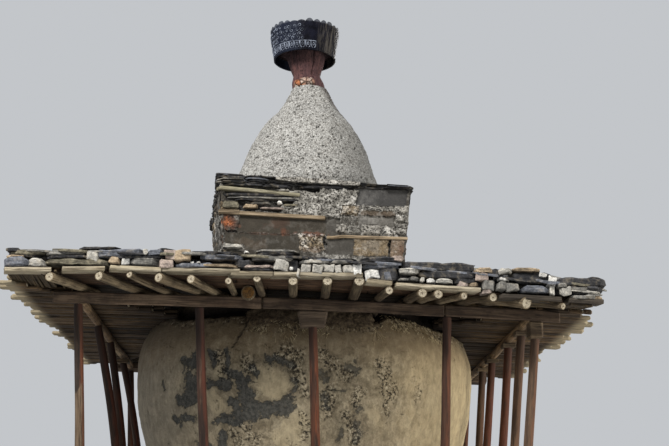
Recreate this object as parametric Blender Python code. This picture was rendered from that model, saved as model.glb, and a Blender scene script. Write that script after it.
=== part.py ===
"""A Himalayan village stupa with a timber and slate canopy. Metres, +Z up, +Y to the back."""
from math import cos, pi, radians, sin, sqrt

import bmesh
import bpy
from mathutils import Matrix, Vector

# Clearance between pieces that touch
GAP = 0.0003

# Dome: a vase that widens up to the belly and rounds over under the roof
DOME_FOOT_RADIUS = 1.55
DOME_BELLY_RADIUS = 1.97
DOME_BELLY_DROP = 0.39
DOME_CAP_RISE = 1.30
DOME_TOP_RISE = 0.40
DOME_SWELL = 2.4
DOME_SIDES = 48
DOME_LOWER_ROWS = 8
DOME_UPPER_ROWS = 6

# Plinth under the posts, and the throne steps under the dome
PLINTH_HEIGHT = 0.35
PLINTH_MARGIN = 0.12
THRONE_STEPS = 2
THRONE_STEP_HEIGHT = 0.46
THRONE_STEP_IN = 0.11
THRONE_LEDGE = 0.10

# Canopy frame: it falls to the right, and the front eave sags towards its right corner
POST_LENGTH = 3.69
LEFT_FALL = 0.022
RIGHT_FALL = 0.040
EAVE_SAG_START = 0.40
EAVE_SAG_ALONG = 0.060
EAVE_SAG_OUT = 0.210
ROW_ROOM = 0.33
BEAM_HEIGHT = 0.12
BEAM_WIDTH = 0.14
BEAM_OVERRUN = 0.25
SIDE_LOG_RADIUS = 0.045
LOG_SIDES = 12

# Posts: their feet stand beside the throne, and the left row bows outward
POST_FOOT_RADIUS = 0.052
POST_TOP_RADIUS = 0.044
POST_SIDES = 10
POST_RINGS = 5
POST_KNEE_RISE = 2.45
FRONT_PLACES = (-1.09, 0.05, 1.41)
FRONT_FOOT_SHIFTS = (0.21, 0.21, 0.10, -0.13, -0.34)
LEFT_PLACES = (-0.91, 0.16, 1.46)
LEFT_KNEE_LEANS = (0.25, 0.20, 0.26)
LEFT_FOOT_ROOMS = (0.17, 0.20, 0.17)
RIGHT_PLACES = (-1.57, -0.80, 0.32, 1.06)
RIGHT_KNEE_LEANS = (0.12, 0.11, 0.12, 0.09)
RIGHT_FOOT_ROOMS = (0.20, 0.21, 0.18, 0.26)
END_ROW_KNEE_LEAN = 0.04
END_ROW_FOOT_LEAN = 0.12

# Bearing blocks and the middle bracket
BLOCK_WIDTH = 0.15
BLOCK_HEIGHT = 0.045
CORNER_BLOCK_HEIGHT = 0.17
BRACKET_WIDTH = 0.27
BRACKET_DEPTH = 0.12
BRACKET_HEIGHT = 0.16

# Rafters and eave boards
EAVE_OVERHANG = 0.61
RAFTER_RADIUS = 0.05
RAFTER_SIDES = 10
RAFTER_PLACES = (-2.50, -2.04, -1.73, -1.45, -1.14, -0.78, -0.50, -0.15, 0.18,
                 0.48, 0.78, 1.09, 1.25, 1.50, 1.78, 2.11, 2.46)
RAFTER_SPLAY = radians(35)
RAFTER_END_ROOM = 0.03
EAVE_BOARD_WIDTH = 0.16
EAVE_BOARD_OUT = 0.02
EAVE_BOARD_BED = 0.01
CORNER_STRIP_RAFTERS = 0.15
CORNER_STRIP_CEILING = 0.30

# Side ceilings of split poles
POLE_WIDTH = 0.174
POLE_ENDS = (0.00, 0.06, 0.02, 0.08, 0.03)

# Roof boards and slate beds
BOARD_THICKNESS = 0.055
BOARD_SETBACK = 0.03
SLATE_OVERHANG = 0.04
SLATE_EDGE_THICKNESS = 0.12
SLATE_PITCH = radians(10)

# Pedestal on the dome: its walls lean outward as they rise
PEDESTAL_CENTRE_X = 0.015
PEDESTAL_FOOT_HALF = 0.985
PEDESTAL_TOP_HALF = 1.10
PEDESTAL_HEIGHT = 1.28
PEDESTAL_TURN = radians(5)
TIMBER_THICKNESS = 0.045
TIMBER_DEPTH = 0.12
TIMBER_PROUD = 0.02
LEFT_TIMBER_DROP = 0.345
LEFT_TIMBER_OUT = 0.02
LEFT_TIMBER_INNER_END = 0.11
LEFT_TIMBER_SLOPE = 0.026
RIGHT_TIMBER_DROP = 0.595
RIGHT_TIMBER_OUT = 0.01
RIGHT_TIMBER_INNER_END = 0.13
COPING_OVERHANG = 0.03
COPING_LEFT_THICKNESS = 0.12
COPING_RIGHT_THICKNESS = 0.045

# Spire: the cone's rings are (radius, rise over the pedestal), and the trunk leans to the left
CONE_X = 0.035
TRUNK_FOOT_X = 0.030
CROWN_X = -0.015
CONE_RINGS = ((0.90, 0.23), (0.83, 0.41), (0.74, 0.65), (0.62, 0.96), (0.55, 1.08),
              (0.41, 1.25), (0.315, 1.41))
CONE_HEIGHT = 1.57
CONE_SIDES = 32
TRUNK_FOOT_RADIUS = 0.190
TRUNK_SEAT = 0.055
TRUNK_WAIST_RADIUS = 0.165
TRUNK_WAIST_RISE = 0.20
TRUNK_NECK_RADIUS = 0.243
TRUNK_NECK_LENGTH = 0.28
TRUNK_FLARE_LENGTH = 0.05
TRUNK_HEAD_THICKNESS = 0.05
TRUNK_SIDES = 48
COLLAR_THICKNESS = 0.045
COLLAR_HEIGHT = 0.12
COLLAR_ARC = (radians(205), radians(297))
COLLAR_STEPS = 7

# Crown hoop, hung round the trunk's head
CROWN_SKIRT = 0.12
CROWN_RIM_RISE = 0.36
CROWN_BASE_RADIUS = 0.370
CROWN_RIM_RADIUS = 0.426
CROWN_WALL = 0.008
CROWN_ROLL = 0.007
CROWN_BEAD = 0.009
CROWN_BEAD_RISE = 0.11
SCALLOPS = 26
SCALLOP_RISE = 0.042
SCALLOP_STEPS = 4

# Plan sizes that follow from the ones above
ROW_HALF = DOME_BELLY_RADIUS + ROW_ROOM
PLINTH_HALF = ROW_HALF + PLINTH_MARGIN
THRONE_HALF = DOME_FOOT_RADIUS + THRONE_LEDGE + (THRONE_STEPS - 1) * THRONE_STEP_IN
EAVE_HALF = ROW_HALF + EAVE_OVERHANG
SLATE_HALF = EAVE_HALF + SLATE_OVERHANG
EAVE_BOARD_OUTER = EAVE_HALF + EAVE_BOARD_OUT
EAVE_BOARD_INNER = EAVE_BOARD_OUTER - EAVE_BOARD_WIDTH
SIDE_LOG_RISE = BEAM_HEIGHT - 2 * SIDE_LOG_RADIUS
COPING_SPAN = 2 * (PEDESTAL_TOP_HALF + COPING_OVERHANG)
COPING_FALL = (COPING_LEFT_THICKNESS - COPING_RIGHT_THICKNESS) / COPING_SPAN

# Heights over the ground
THRONE_TOP = PLINTH_HEIGHT + THRONE_STEPS * THRONE_STEP_HEIGHT
BEAM_UNDERSIDE = PLINTH_HEIGHT + POST_LENGTH
DOME_BELLY_HEIGHT = BEAM_UNDERSIDE - DOME_BELLY_DROP
DOME_TOP_HEIGHT = BEAM_UNDERSIDE + DOME_TOP_RISE
PEDESTAL_TOP_HEIGHT = DOME_TOP_HEIGHT + PEDESTAL_HEIGHT
CONE_TOP_HEIGHT = PEDESTAL_TOP_HEIGHT + CONE_HEIGHT
TRUNK_FOOT = CONE_TOP_HEIGHT + GAP
TRUNK_WAIST = TRUNK_FOOT + TRUNK_WAIST_RISE
TRUNK_NECK = TRUNK_WAIST + TRUNK_NECK_LENGTH
TRUNK_HEAD = TRUNK_NECK + TRUNK_FLARE_LENGTH
CROWN_BASE_HEIGHT = TRUNK_HEAD - CROWN_SKIRT

# Heights over the beams' underside
RAFTER_UNDERSIDE = BEAM_HEIGHT + GAP
RAFTER_TOP = RAFTER_UNDERSIDE + 2 * RAFTER_RADIUS
BOARD_TOP = RAFTER_TOP + GAP + BOARD_THICKNESS
SLATE_UNDERSIDE = BOARD_TOP + GAP


def clear_objects():
    """Start from an empty file."""
    for thing in list(bpy.data.objects):
        bpy.data.objects.remove(thing, do_unlink=True)


def finish_material(name, colour, roughness, metallic=0.0):
    """One plain Principled material."""
    material = bpy.data.materials.new(name)
    material.use_nodes = True
    shader = material.node_tree.nodes["Principled BSDF"]
    shader.inputs["Base Color"].default_value = (*colour, 1.0)
    shader.inputs["Roughness"].default_value = roughness
    shader.inputs["Metallic"].default_value = metallic
    return material


def place(name, bm, material=None, parent=None, location=(0, 0, 0), smooth=False):
    """Turn a bmesh into a named object."""
    bmesh.ops.recalc_face_normals(bm, faces=bm.faces)
    mesh = bpy.data.meshes.new(name)
    bm.to_mesh(mesh)
    bm.free()
    if smooth:
        mesh.shade_smooth()
        mesh.set_sharp_from_angle(angle=radians(40))
    thing = bpy.data.objects.new(name, mesh)
    if material:
        mesh.materials.append(material)
    thing.parent = parent
    thing.location = location
    bpy.context.collection.objects.link(thing)
    return thing


def frame_empty(name, location):
    """An empty that other pieces are placed from."""
    empty = bpy.data.objects.new(name, None)
    empty.location = location
    bpy.context.collection.objects.link(empty)
    return empty


def hide_cutter(thing):
    """Cutters only shape their neighbours."""
    thing.hide_render = True
    thing.display_type = 'WIRE'
    return thing


def combine(thing, other, operation='DIFFERENCE'):
    """Cut a piece with another, or fuse the other to it."""
    modifier = thing.modifiers.new(operation.title(), 'BOOLEAN')
    modifier.operation = operation
    modifier.object = other
    modifier.solver = 'EXACT'


def add_box(bm, low, high):
    """A box between two corners."""
    size = Vector(high) - Vector(low)
    middle = (Vector(high) + Vector(low)) / 2
    made = bmesh.ops.create_cube(bm, size=1.0)
    bmesh.ops.scale(bm, vec=size, verts=made["verts"])
    bmesh.ops.translate(bm, vec=middle, verts=made["verts"])


def add_rings(bm, rings):
    """Bridge rings of points into one closed solid."""
    loops = [[bm.verts.new(point) for point in ring] for ring in rings]
    count = len(loops[0])
    for lower, upper in zip(loops, loops[1:]):
        for i in range(count):
            j = (i + 1) % count
            bm.faces.new((lower[i], lower[j], upper[j], upper[i]))
    bm.faces.new(reversed(loops[0]))
    bm.faces.new(loops[-1])


def ring(centre, radius, sides, height):
    """Points of a level circle; height is a number or a function of the point's place."""
    points = []
    for i in range(sides):
        angle = 2 * pi * i / sides
        x = centre[0] + radius * cos(angle)
        y = centre[1] + radius * sin(angle)
        z = height(x, y) if callable(height) else height
        points.append((x, y, z))
    return points


def turned(profile, sides, centre=(0, 0)):
    """A solid turned from (radius, height) points, lowest first."""
    bm = bmesh.new()
    add_rings(bm, [ring(centre, radius, sides, height) for radius, height in profile])
    return bm


def add_prism(bm, outline, low, high):
    """A flat outline extruded from one height to another."""
    add_rings(bm, [[(x, y, low) for x, y in outline], [(x, y, high) for x, y in outline]])


def add_log(bm, start, end, radius, sides):
    """A round log between two points, with corners of its outline at its top and bottom."""
    axis = (Vector(end) - Vector(start)).normalized()
    side = axis.cross(Vector((0, 0, 1))).normalized()
    up = side.cross(axis)
    rings = []
    for middle in (Vector(start), Vector(end)):
        angles = [pi / 2 + 2 * pi * i / sides for i in range(sides)]
        rings.append([middle + radius * (cos(a) * side + sin(a) * up) for a in angles])
    add_rings(bm, rings)


def settlement(x, y):
    """How far the canopy has sunk at a plan point: the frame's fall and the eave's sag."""
    fall = x * (LEFT_FALL if x < 0 else RIGHT_FALL)
    sag = EAVE_SAG_ALONG * (x - EAVE_SAG_START) - EAVE_SAG_OUT * (y + EAVE_HALF)
    return -fall - max(0.0, sag)


def settle(bm):
    """Bend a canopy piece to the sunken canopy, with a cut along each line where its slope changes."""
    folds = (((0, 0, 0), (1, 0, 0)),
             ((EAVE_SAG_START, -EAVE_HALF, 0), (EAVE_SAG_ALONG, -EAVE_SAG_OUT, 0)))
    for point, normal in folds:
        geometry = bm.verts[:] + bm.edges[:] + bm.faces[:]
        bmesh.ops.bisect_plane(bm, geom=geometry, plane_co=point, plane_no=Vector(normal).normalized())
    for vert in bm.verts:
        vert.co.z += settlement(vert.co.x, vert.co.y)


def canopy_piece(name, bm, material, smooth=False):
    """A piece drawn over the beams' underside and settled with the frame."""
    settle(bm)
    return place(name, bm, material, parent=CANOPY, smooth=smooth)


def quarter_turns(point, turns):
    """Turn a plan point by quarter turns about the middle."""
    x, y = point
    for _ in range(turns):
        x, y = -y, x
    return x, y


def dome_profile(clearance=0.0):
    """The vase outline, foot first."""
    points = []
    foot = THRONE_TOP + GAP - clearance
    for i in range(DOME_LOWER_ROWS + 1):
        share = i / DOME_LOWER_ROWS
        height = foot + share * (DOME_BELLY_HEIGHT - foot)
        swell = (DOME_BELLY_RADIUS - DOME_FOOT_RADIUS) * sin(pi / 2 * share) ** DOME_SWELL
        points.append((DOME_FOOT_RADIUS + swell + clearance, height))
    rise = DOME_TOP_HEIGHT - DOME_BELLY_HEIGHT
    for i in range(1, DOME_UPPER_ROWS + 1):
        height = rise * i / DOME_UPPER_ROWS
        radius = DOME_BELLY_RADIUS * sqrt(1 - (height / DOME_CAP_RISE) ** 2)
        points.append((radius + clearance, DOME_BELLY_HEIGHT + height))
    points[-1] = (points[-1][0], DOME_TOP_HEIGHT + clearance)
    return points


def dome_radius_over(height):
    """Radius of the dome at a height over its belly."""
    return DOME_BELLY_RADIUS * sqrt(1 - ((height - DOME_BELLY_HEIGHT) / DOME_CAP_RISE) ** 2)


def make_base():
    """Plinth and the two throne steps."""
    bm = bmesh.new()
    add_box(bm, (-PLINTH_HALF, -PLINTH_HALF, 0), (PLINTH_HALF, PLINTH_HALF, PLINTH_HEIGHT))
    place("plinth", bm, STONE)
    bm = bmesh.new()
    rings = []
    for step in range(THRONE_STEPS):
        half = THRONE_HALF - step * THRONE_STEP_IN
        low = PLINTH_HEIGHT + GAP + step * THRONE_STEP_HEIGHT
        high = PLINTH_HEIGHT + (step + 1) * THRONE_STEP_HEIGHT
        corners = ((-half, -half), (half, -half), (half, half), (-half, half))
        if step == 0:
            rings.append([(x, y, low) for x, y in corners])
        else:
            rings.append([(x, y, low - GAP) for x, y in corners])
        rings.append([(x, y, high) for x, y in corners])
    add_rings(bm, rings)
    place("throne", bm, PLASTER)


def make_dome():
    """The plastered dome and the cutter that fits the roof round it."""
    place("dome", turned(dome_profile(), DOME_SIDES), PLASTER, smooth=True)
    return hide_cutter(place("dome_cutter", turned(dome_profile(GAP), DOME_SIDES)))


def knee_share():
    """Where the knee lies on a post, as a share of its length."""
    return POST_KNEE_RISE / POST_LENGTH


def bowed(share, foot, knee, top):
    """Plan point of a post that bows smoothly from its foot through its knee to its top."""
    bend = knee_share()
    weights = (
        (share - bend) * (share - 1) / bend,
        share * (share - 1) / (bend * (bend - 1)),
        share * (share - bend) / (1 - bend),
    )
    return tuple(sum(w * point[axis] for w, point in zip(weights, (foot, knee, top)))
                 for axis in (0, 1))


def make_post(name, top, knee, foot, drop):
    """A round post with its head cut to the settled frame."""
    def head_height(x, y):
        return BEAM_UNDERSIDE + settlement(x, y) - drop - GAP

    low = PLINTH_HEIGHT + GAP
    rings = []
    for i in range(POST_RINGS + 1):
        share = i / POST_RINGS
        radius = POST_FOOT_RADIUS + share * (POST_TOP_RADIUS - POST_FOOT_RADIUS)
        height = head_height if i == POST_RINGS else low + share * (BEAM_UNDERSIDE - drop - low)
        rings.append(ring(bowed(share, foot, knee, top), radius, POST_SIDES, height))
    bm = bmesh.new()
    add_rings(bm, rings)
    place(name, bm, RED_WOOD, smooth=True)


def make_block(name, middle, width, depth, low, high):
    """A bearing block between a post's head and its beam."""
    x, y = middle
    bm = bmesh.new()
    add_box(bm, (x - width / 2, y - depth / 2, low), (x + width / 2, y + depth / 2, high - GAP))
    canopy_piece(name, bm, WOOD)


def make_end_row(name, side):
    """The front or back row of five posts."""
    places = (-ROW_HALF, *FRONT_PLACES, ROW_HALF)
    for i, (place_x, shift) in enumerate(zip(places, FRONT_FOOT_SHIFTS), start=1):
        drop = 0.0
        if i == 3:
            drop = BRACKET_HEIGHT
            make_block(f"bracket_{name}", (place_x, side * ROW_HALF), BRACKET_WIDTH,
                       BRACKET_DEPTH, -BRACKET_HEIGHT, 0.0)
        if i == 5 and name == "front":
            drop = CORNER_BLOCK_HEIGHT
            make_block(f"block_{name}_{i}", (place_x, side * ROW_HALF), BLOCK_WIDTH,
                       BEAM_WIDTH, -CORNER_BLOCK_HEIGHT, 0.0)
        top = (place_x, side * ROW_HALF)
        knee = (place_x + shift * (1 - knee_share()), side * (ROW_HALF - END_ROW_KNEE_LEAN))
        foot = (place_x + shift, side * (ROW_HALF - END_ROW_FOOT_LEAN))
        make_post(f"post_{name}_{i}", top, knee, foot, drop)


def make_side_row(name, side, places, knee_leans, foot_rooms, blocks):
    """The posts between the corners of the left or right row."""
    rows = zip(places, knee_leans, foot_rooms)
    for i, (place_y, knee_lean, foot_room) in enumerate(rows, start=1):
        drop = -SIDE_LOG_RISE
        if i in blocks:
            drop = BLOCK_HEIGHT - SIDE_LOG_RISE
            make_block(f"block_{name}_{i}", (side * ROW_HALF, place_y), BLOCK_WIDTH,
                       BLOCK_WIDTH, -drop, SIDE_LOG_RISE)
        top = (side * ROW_HALF, place_y)
        knee = (side * (ROW_HALF - knee_lean), place_y)
        foot = (side * (THRONE_HALF + foot_room), place_y)
        make_post(f"post_{name}_{i}", top, knee, foot, drop)


def make_beams():
    """Squared timbers at the front and back, round logs between them at the sides."""
    reach = ROW_HALF + BEAM_OVERRUN
    for name, side in (("front", -1), ("back", 1)):
        bm = bmesh.new()
        middle = side * ROW_HALF
        add_box(bm, (-reach, middle - BEAM_WIDTH / 2, 0), (reach, middle + BEAM_WIDTH / 2, BEAM_HEIGHT))
        canopy_piece(f"beam_{name}", bm, WOOD)
    log_end = ROW_HALF - BEAM_WIDTH / 2 - GAP
    for name, side in (("left", -1), ("right", 1)):
        bm = bmesh.new()
        x = side * ROW_HALF
        middle = SIDE_LOG_RISE + SIDE_LOG_RADIUS
        add_log(bm, (x, -log_end, middle), (x, log_end, middle), SIDE_LOG_RADIUS, LOG_SIDES)
        canopy_piece(f"beam_{name}", bm, WOOD, smooth=True)


def rafter_length(x, splay):
    """How far a rafter runs in from the eave: to the dome, or to the strip at the corner."""
    stop = dome_radius_over(BEAM_UNDERSIDE + settlement(x, 0.0) + RAFTER_UNDERSIDE)
    stop += RAFTER_RADIUS + RAFTER_END_ROOM
    across = -EAVE_HALF * cos(splay) - abs(x) * sin(splay)
    to_dome = -across - sqrt(across ** 2 - (EAVE_HALF ** 2 + x ** 2 - stop ** 2)) \
        if across ** 2 > EAVE_HALF ** 2 + x ** 2 - stop ** 2 else EAVE_HALF
    to_corner = (EAVE_HALF - abs(x) + CORNER_STRIP_RAFTERS) / (cos(splay) - sin(splay))
    return min(to_dome, to_corner)


def make_rafters(name, side):
    """Round logs that fan out to the eave, with the eave board bedded on their ends."""
    board = bmesh.new()
    inner = side * EAVE_BOARD_INNER
    outer = side * EAVE_BOARD_OUTER
    add_box(board, (-SLATE_HALF, min(inner, outer), RAFTER_TOP - EAVE_BOARD_BED),
            (SLATE_HALF, max(inner, outer), BOARD_TOP))
    comb = canopy_piece(f"rafters_{name}", board, WOOD)
    logs = bmesh.new()
    height = RAFTER_UNDERSIDE + RAFTER_RADIUS
    for x in RAFTER_PLACES:
        splay = RAFTER_SPLAY * (x / EAVE_HALF) ** 2
        length = rafter_length(x, splay)
        inward = -sin(splay) if x > 0 else sin(splay)
        start = (x, side * EAVE_HALF, height)
        end = (x + length * inward, side * (EAVE_HALF - length * cos(splay)), height)
        add_log(logs, start, end, RAFTER_RADIUS, RAFTER_SIDES)
    log_cutter = hide_cutter(canopy_piece(f"rafters_{name}_logs", logs, WOOD))
    combine(comb, log_cutter, 'UNION')


def make_ceiling(name, side, dome_cutter):
    """Split poles side by side from the dome to the eave, with ragged ends."""
    outer_half = EAVE_HALF - CORNER_STRIP_CEILING
    inner = dome_radius_over(BEAM_UNDERSIDE) / 2
    count = int(2 * outer_half / POLE_WIDTH)
    width = 2 * outer_half / count
    outline = [(inner, CORNER_STRIP_CEILING - inner), (inner, inner - CORNER_STRIP_CEILING)]
    for i in range(count):
        y = outer_half - i * width
        reach = EAVE_HALF + POLE_ENDS[i % len(POLE_ENDS)]
        outline += [(reach, y), (reach, y - width)]
    outline = [(side * x, y) for x, y in outline]
    bm = bmesh.new()
    add_prism(bm, outline, RAFTER_UNDERSIDE, RAFTER_TOP)
    combine(canopy_piece(f"ceiling_{name}", bm, WOOD), dome_cutter)


def make_roof_boards(dome_cutter):
    """One layer of boarding on the rafters, open round the dome."""
    half_x = EAVE_HALF - BOARD_SETBACK
    half_y = EAVE_BOARD_INNER - GAP
    bm = bmesh.new()
    add_box(bm, (-half_x, -half_y, RAFTER_TOP + GAP), (half_x, half_y, BOARD_TOP))
    combine(canopy_piece("roof_boards", bm, WOOD), dome_cutter)


def make_slates(name, turns, dome_cutter, pedestal_cutter):
    """One mitred bed of slates that rises from the eave to the pedestal."""
    inner = PEDESTAL_FOOT_HALF * 0.7
    mitre = GAP / sqrt(2)
    corners = ((-inner + mitre, -inner), (inner - mitre, -inner),
               (SLATE_HALF - mitre, -SLATE_HALF), (-SLATE_HALF + mitre, -SLATE_HALF))
    edge = SLATE_UNDERSIDE + SLATE_EDGE_THICKNESS
    ridge = edge + (SLATE_HALF - inner) * sin(SLATE_PITCH) / cos(SLATE_PITCH)
    tops = (ridge, ridge, edge, edge)
    plan = [quarter_turns(corner, turns) for corner in corners]
    bm = bmesh.new()
    add_rings(bm, [[(x, y, SLATE_UNDERSIDE) for x, y in plan],
                   [(x, y, top) for (x, y), top in zip(plan, tops)]])
    bed = canopy_piece(f"slates_{name}", bm, SLATE)
    combine(bed, dome_cutter)
    combine(bed, pedestal_cutter)


def pedestal_half(height):
    """Half the pedestal's width at a height over the ground."""
    share = (height - DOME_TOP_HEIGHT) / PEDESTAL_HEIGHT
    return PEDESTAL_FOOT_HALF + share * (PEDESTAL_TOP_HALF - PEDESTAL_FOOT_HALF)


def square_on_pedestal(low_half, low, high_half, high):
    """A turned square block centred on the pedestal; its upper height may be a function."""
    turn = Matrix.Rotation(PEDESTAL_TURN, 3, 'Z')
    rings = []
    for half, height in ((low_half, low), (high_half, high)):
        points = []
        for side_x, side_y in ((-1, -1), (1, -1), (1, 1), (-1, 1)):
            corner = turn @ Vector((side_x * half, side_y * half, 0))
            x, y = PEDESTAL_CENTRE_X + corner.x, corner.y
            points.append((x, y, height(x, y) if callable(height) else height))
        rings.append(points)
    bm = bmesh.new()
    add_rings(bm, rings)
    return bm


def coping_top(x, _y):
    """The coping's upper face falls from its thick left side to its thin right side."""
    left_edge = PEDESTAL_CENTRE_X - COPING_SPAN / 2
    return PEDESTAL_TOP_HEIGHT + COPING_LEFT_THICKNESS - (x - left_edge) * COPING_FALL


def pedestal_timber(name, span, height, slope, clearance):
    """A lacing timber set in the front face, or the groove that holds it."""
    depth = TIMBER_DEPTH + clearance
    thickness = TIMBER_THICKNESS + 2 * clearance
    bm = bmesh.new()
    face = -pedestal_half(height) - TIMBER_PROUD
    low = (span[0] - clearance, face - clearance, -thickness / 2)
    high = (span[1] + clearance, face + depth, thickness / 2)
    add_box(bm, low, high)
    for vert in bm.verts:
        vert.co.z += height - slope * (vert.co.x - (span[0] + span[1]) / 2)
    bmesh.ops.rotate(bm, cent=(0, 0, 0), matrix=Matrix.Rotation(PEDESTAL_TURN, 3, 'Z'), verts=bm.verts)
    return place(name, bm, WOOD, location=(PEDESTAL_CENTRE_X, 0, 0))


def make_pedestal():
    """The masonry block on the dome, its lacing timbers and its slate coping."""
    block = square_on_pedestal(PEDESTAL_FOOT_HALF, DOME_TOP_HEIGHT + GAP,
                               PEDESTAL_TOP_HALF, PEDESTAL_TOP_HEIGHT)
    core = place("pedestal", block, STONE)
    left_height = PEDESTAL_TOP_HEIGHT - LEFT_TIMBER_DROP
    right_height = PEDESTAL_TOP_HEIGHT - RIGHT_TIMBER_DROP
    left_span = (-pedestal_half(left_height) - LEFT_TIMBER_OUT, LEFT_TIMBER_INNER_END)
    right_span = (RIGHT_TIMBER_INNER_END, pedestal_half(right_height) + RIGHT_TIMBER_OUT)
    timbers = (("left", left_span, left_height, LEFT_TIMBER_SLOPE),
               ("right", right_span, right_height, 0.0))
    for name, span, height, slope in timbers:
        pedestal_timber(f"pedestal_timber_{name}", span, height, slope, 0.0)
        groove = pedestal_timber(f"pedestal_groove_{name}", span, height, slope, GAP)
        combine(core, hide_cutter(groove))
    coping_half = PEDESTAL_TOP_HALF + COPING_OVERHANG
    coping = square_on_pedestal(coping_half, PEDESTAL_TOP_HEIGHT + GAP, coping_half, coping_top)
    place("pedestal_coping", coping, SLATE)
    sleeve = square_on_pedestal(PEDESTAL_FOOT_HALF + GAP, DOME_TOP_HEIGHT,
                                PEDESTAL_TOP_HALF + GAP, PEDESTAL_TOP_HEIGHT)
    return hide_cutter(place("pedestal_cutter", sleeve))


def make_cone():
    """The mud spire, its foot bedded on the sloping coping."""
    centre = (CONE_X, 0)
    foot_radius = CONE_RINGS[0][0]
    rings = [ring(centre, foot_radius, CONE_SIDES, lambda x, y: coping_top(x, y) + GAP)]
    for radius, rise in (*CONE_RINGS, (TRUNK_FOOT_RADIUS + TRUNK_SEAT, CONE_HEIGHT)):
        rings.append(ring(centre, radius, CONE_SIDES, PEDESTAL_TOP_HEIGHT + rise))
    bm = bmesh.new()
    add_rings(bm, rings)
    place("cone", bm, MUD, smooth=True)


def crown_inner_radius(height):
    """Inside radius of the crown hoop at a height."""
    share = (height - CROWN_BASE_HEIGHT) / CROWN_RIM_RISE
    return CROWN_BASE_RADIUS + share * (CROWN_RIM_RADIUS - CROWN_BASE_RADIUS) - CROWN_WALL


def trunk_centre(height):
    """Plan point of the trunk's leaning axis, upright inside the crown."""
    share = min(1.0, (height - TRUNK_FOOT) / (TRUNK_HEAD - TRUNK_FOOT))
    return TRUNK_FOOT_X + share * (CROWN_X - TRUNK_FOOT_X), 0.0


def make_trunk():
    """The flared timber: foot, waist, neck and the round head inside the crown."""
    head_top = TRUNK_HEAD + TRUNK_HEAD_THICKNESS
    fit = cos(pi / (SCALLOPS * SCALLOP_STEPS))
    profile = (
        (TRUNK_FOOT_RADIUS, TRUNK_FOOT),
        (TRUNK_FOOT_RADIUS, (TRUNK_FOOT + TRUNK_WAIST) / 2),
        (TRUNK_WAIST_RADIUS, TRUNK_WAIST),
        ((TRUNK_WAIST_RADIUS + TRUNK_NECK_RADIUS) / 2, (TRUNK_WAIST + TRUNK_NECK) / 2),
        (TRUNK_NECK_RADIUS, TRUNK_NECK),
        (crown_inner_radius(TRUNK_HEAD) * fit - GAP, TRUNK_HEAD),
        (crown_inner_radius(head_top) * fit - GAP, head_top),
    )
    bm = bmesh.new()
    add_rings(bm, [ring(trunk_centre(height), radius, TRUNK_SIDES, height) for radius, height in profile])
    place("trunk", bm, RED_WOOD, smooth=True)


def make_collar():
    """Masonry packed against the front of the trunk's foot."""
    step = (COLLAR_ARC[1] - COLLAR_ARC[0]) / COLLAR_STEPS
    inner = TRUNK_FOOT_RADIUS / cos(step / 2) + GAP
    outer = inner + COLLAR_THICKNESS
    angles = [COLLAR_ARC[0] + step * i for i in range(COLLAR_STEPS + 1)]
    outline = [(outer * cos(a), outer * sin(a)) for a in angles]
    outline += [(inner * cos(a), inner * sin(a)) for a in reversed(angles)]
    rings = []
    for height in (TRUNK_FOOT, TRUNK_FOOT + COLLAR_HEIGHT):
        centre_x, centre_y = trunk_centre(height)
        rings.append([(centre_x + x, centre_y + y, height) for x, y in outline])
    bm = bmesh.new()
    add_rings(bm, rings)
    place("collar", bm, BRICK)


def make_crown():
    """The metal hoop: rolled foot, raised bead and scalloped rim."""
    count = SCALLOPS * SCALLOP_STEPS
    slope = (CROWN_RIM_RADIUS - CROWN_BASE_RADIUS) / CROWN_RIM_RISE
    bead = CROWN_BEAD_RISE
    wall_rows = (
        (CROWN_ROLL, 0.0),
        (CROWN_ROLL, 2 * CROWN_ROLL),
        (0.0, 3 * CROWN_ROLL),
        (0.0, bead - CROWN_BEAD),
        (CROWN_BEAD, bead),
        (0.0, bead + CROWN_BEAD),
    )
    loops = [[] for _ in range(len(wall_rows) + 3)]
    for i in range(count):
        angle = 2 * pi * i / count
        lobe = sin(pi * (i % SCALLOP_STEPS) / SCALLOP_STEPS)
        rim = CROWN_RIM_RISE + SCALLOP_RISE * sqrt(lobe)
        section = [(-CROWN_WALL, 0.0)]
        section += wall_rows
        section += [(0.0, rim), (-CROWN_WALL, rim)]
        for loop, (out, rise) in zip(loops, section):
            radius = CROWN_BASE_RADIUS + slope * rise + out
            loop.append((CROWN_X + radius * cos(angle), radius * sin(angle), CROWN_BASE_HEIGHT + rise))
    bm = bmesh.new()
    verts = [[bm.verts.new(point) for point in loop] for loop in loops]
    for a, b in zip(verts, verts[1:] + verts[:1]):
        for i in range(count):
            j = (i + 1) % count
            bm.faces.new((a[i], a[j], b[j], b[i]))
    place("crown", bm, METAL, smooth=True)


clear_objects()

PLASTER = finish_material("plaster", (0.42, 0.36, 0.26), 0.95)
MUD = finish_material("mud", (0.36, 0.35, 0.33), 0.95)
STONE = finish_material("stone", (0.30, 0.29, 0.26), 0.92)
SLATE = finish_material("slate", (0.10, 0.10, 0.11), 0.80)
WOOD = finish_material("wood", (0.20, 0.15, 0.10), 0.85)
RED_WOOD = finish_material("red_wood", (0.22, 0.08, 0.05), 0.75)
BRICK = finish_material("brick", (0.45, 0.22, 0.10), 0.90)
METAL = finish_material("metal", (0.05, 0.055, 0.065), 0.45, 0.8)

CANOPY = frame_empty("canopy_frame", (0, 0, BEAM_UNDERSIDE))

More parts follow.
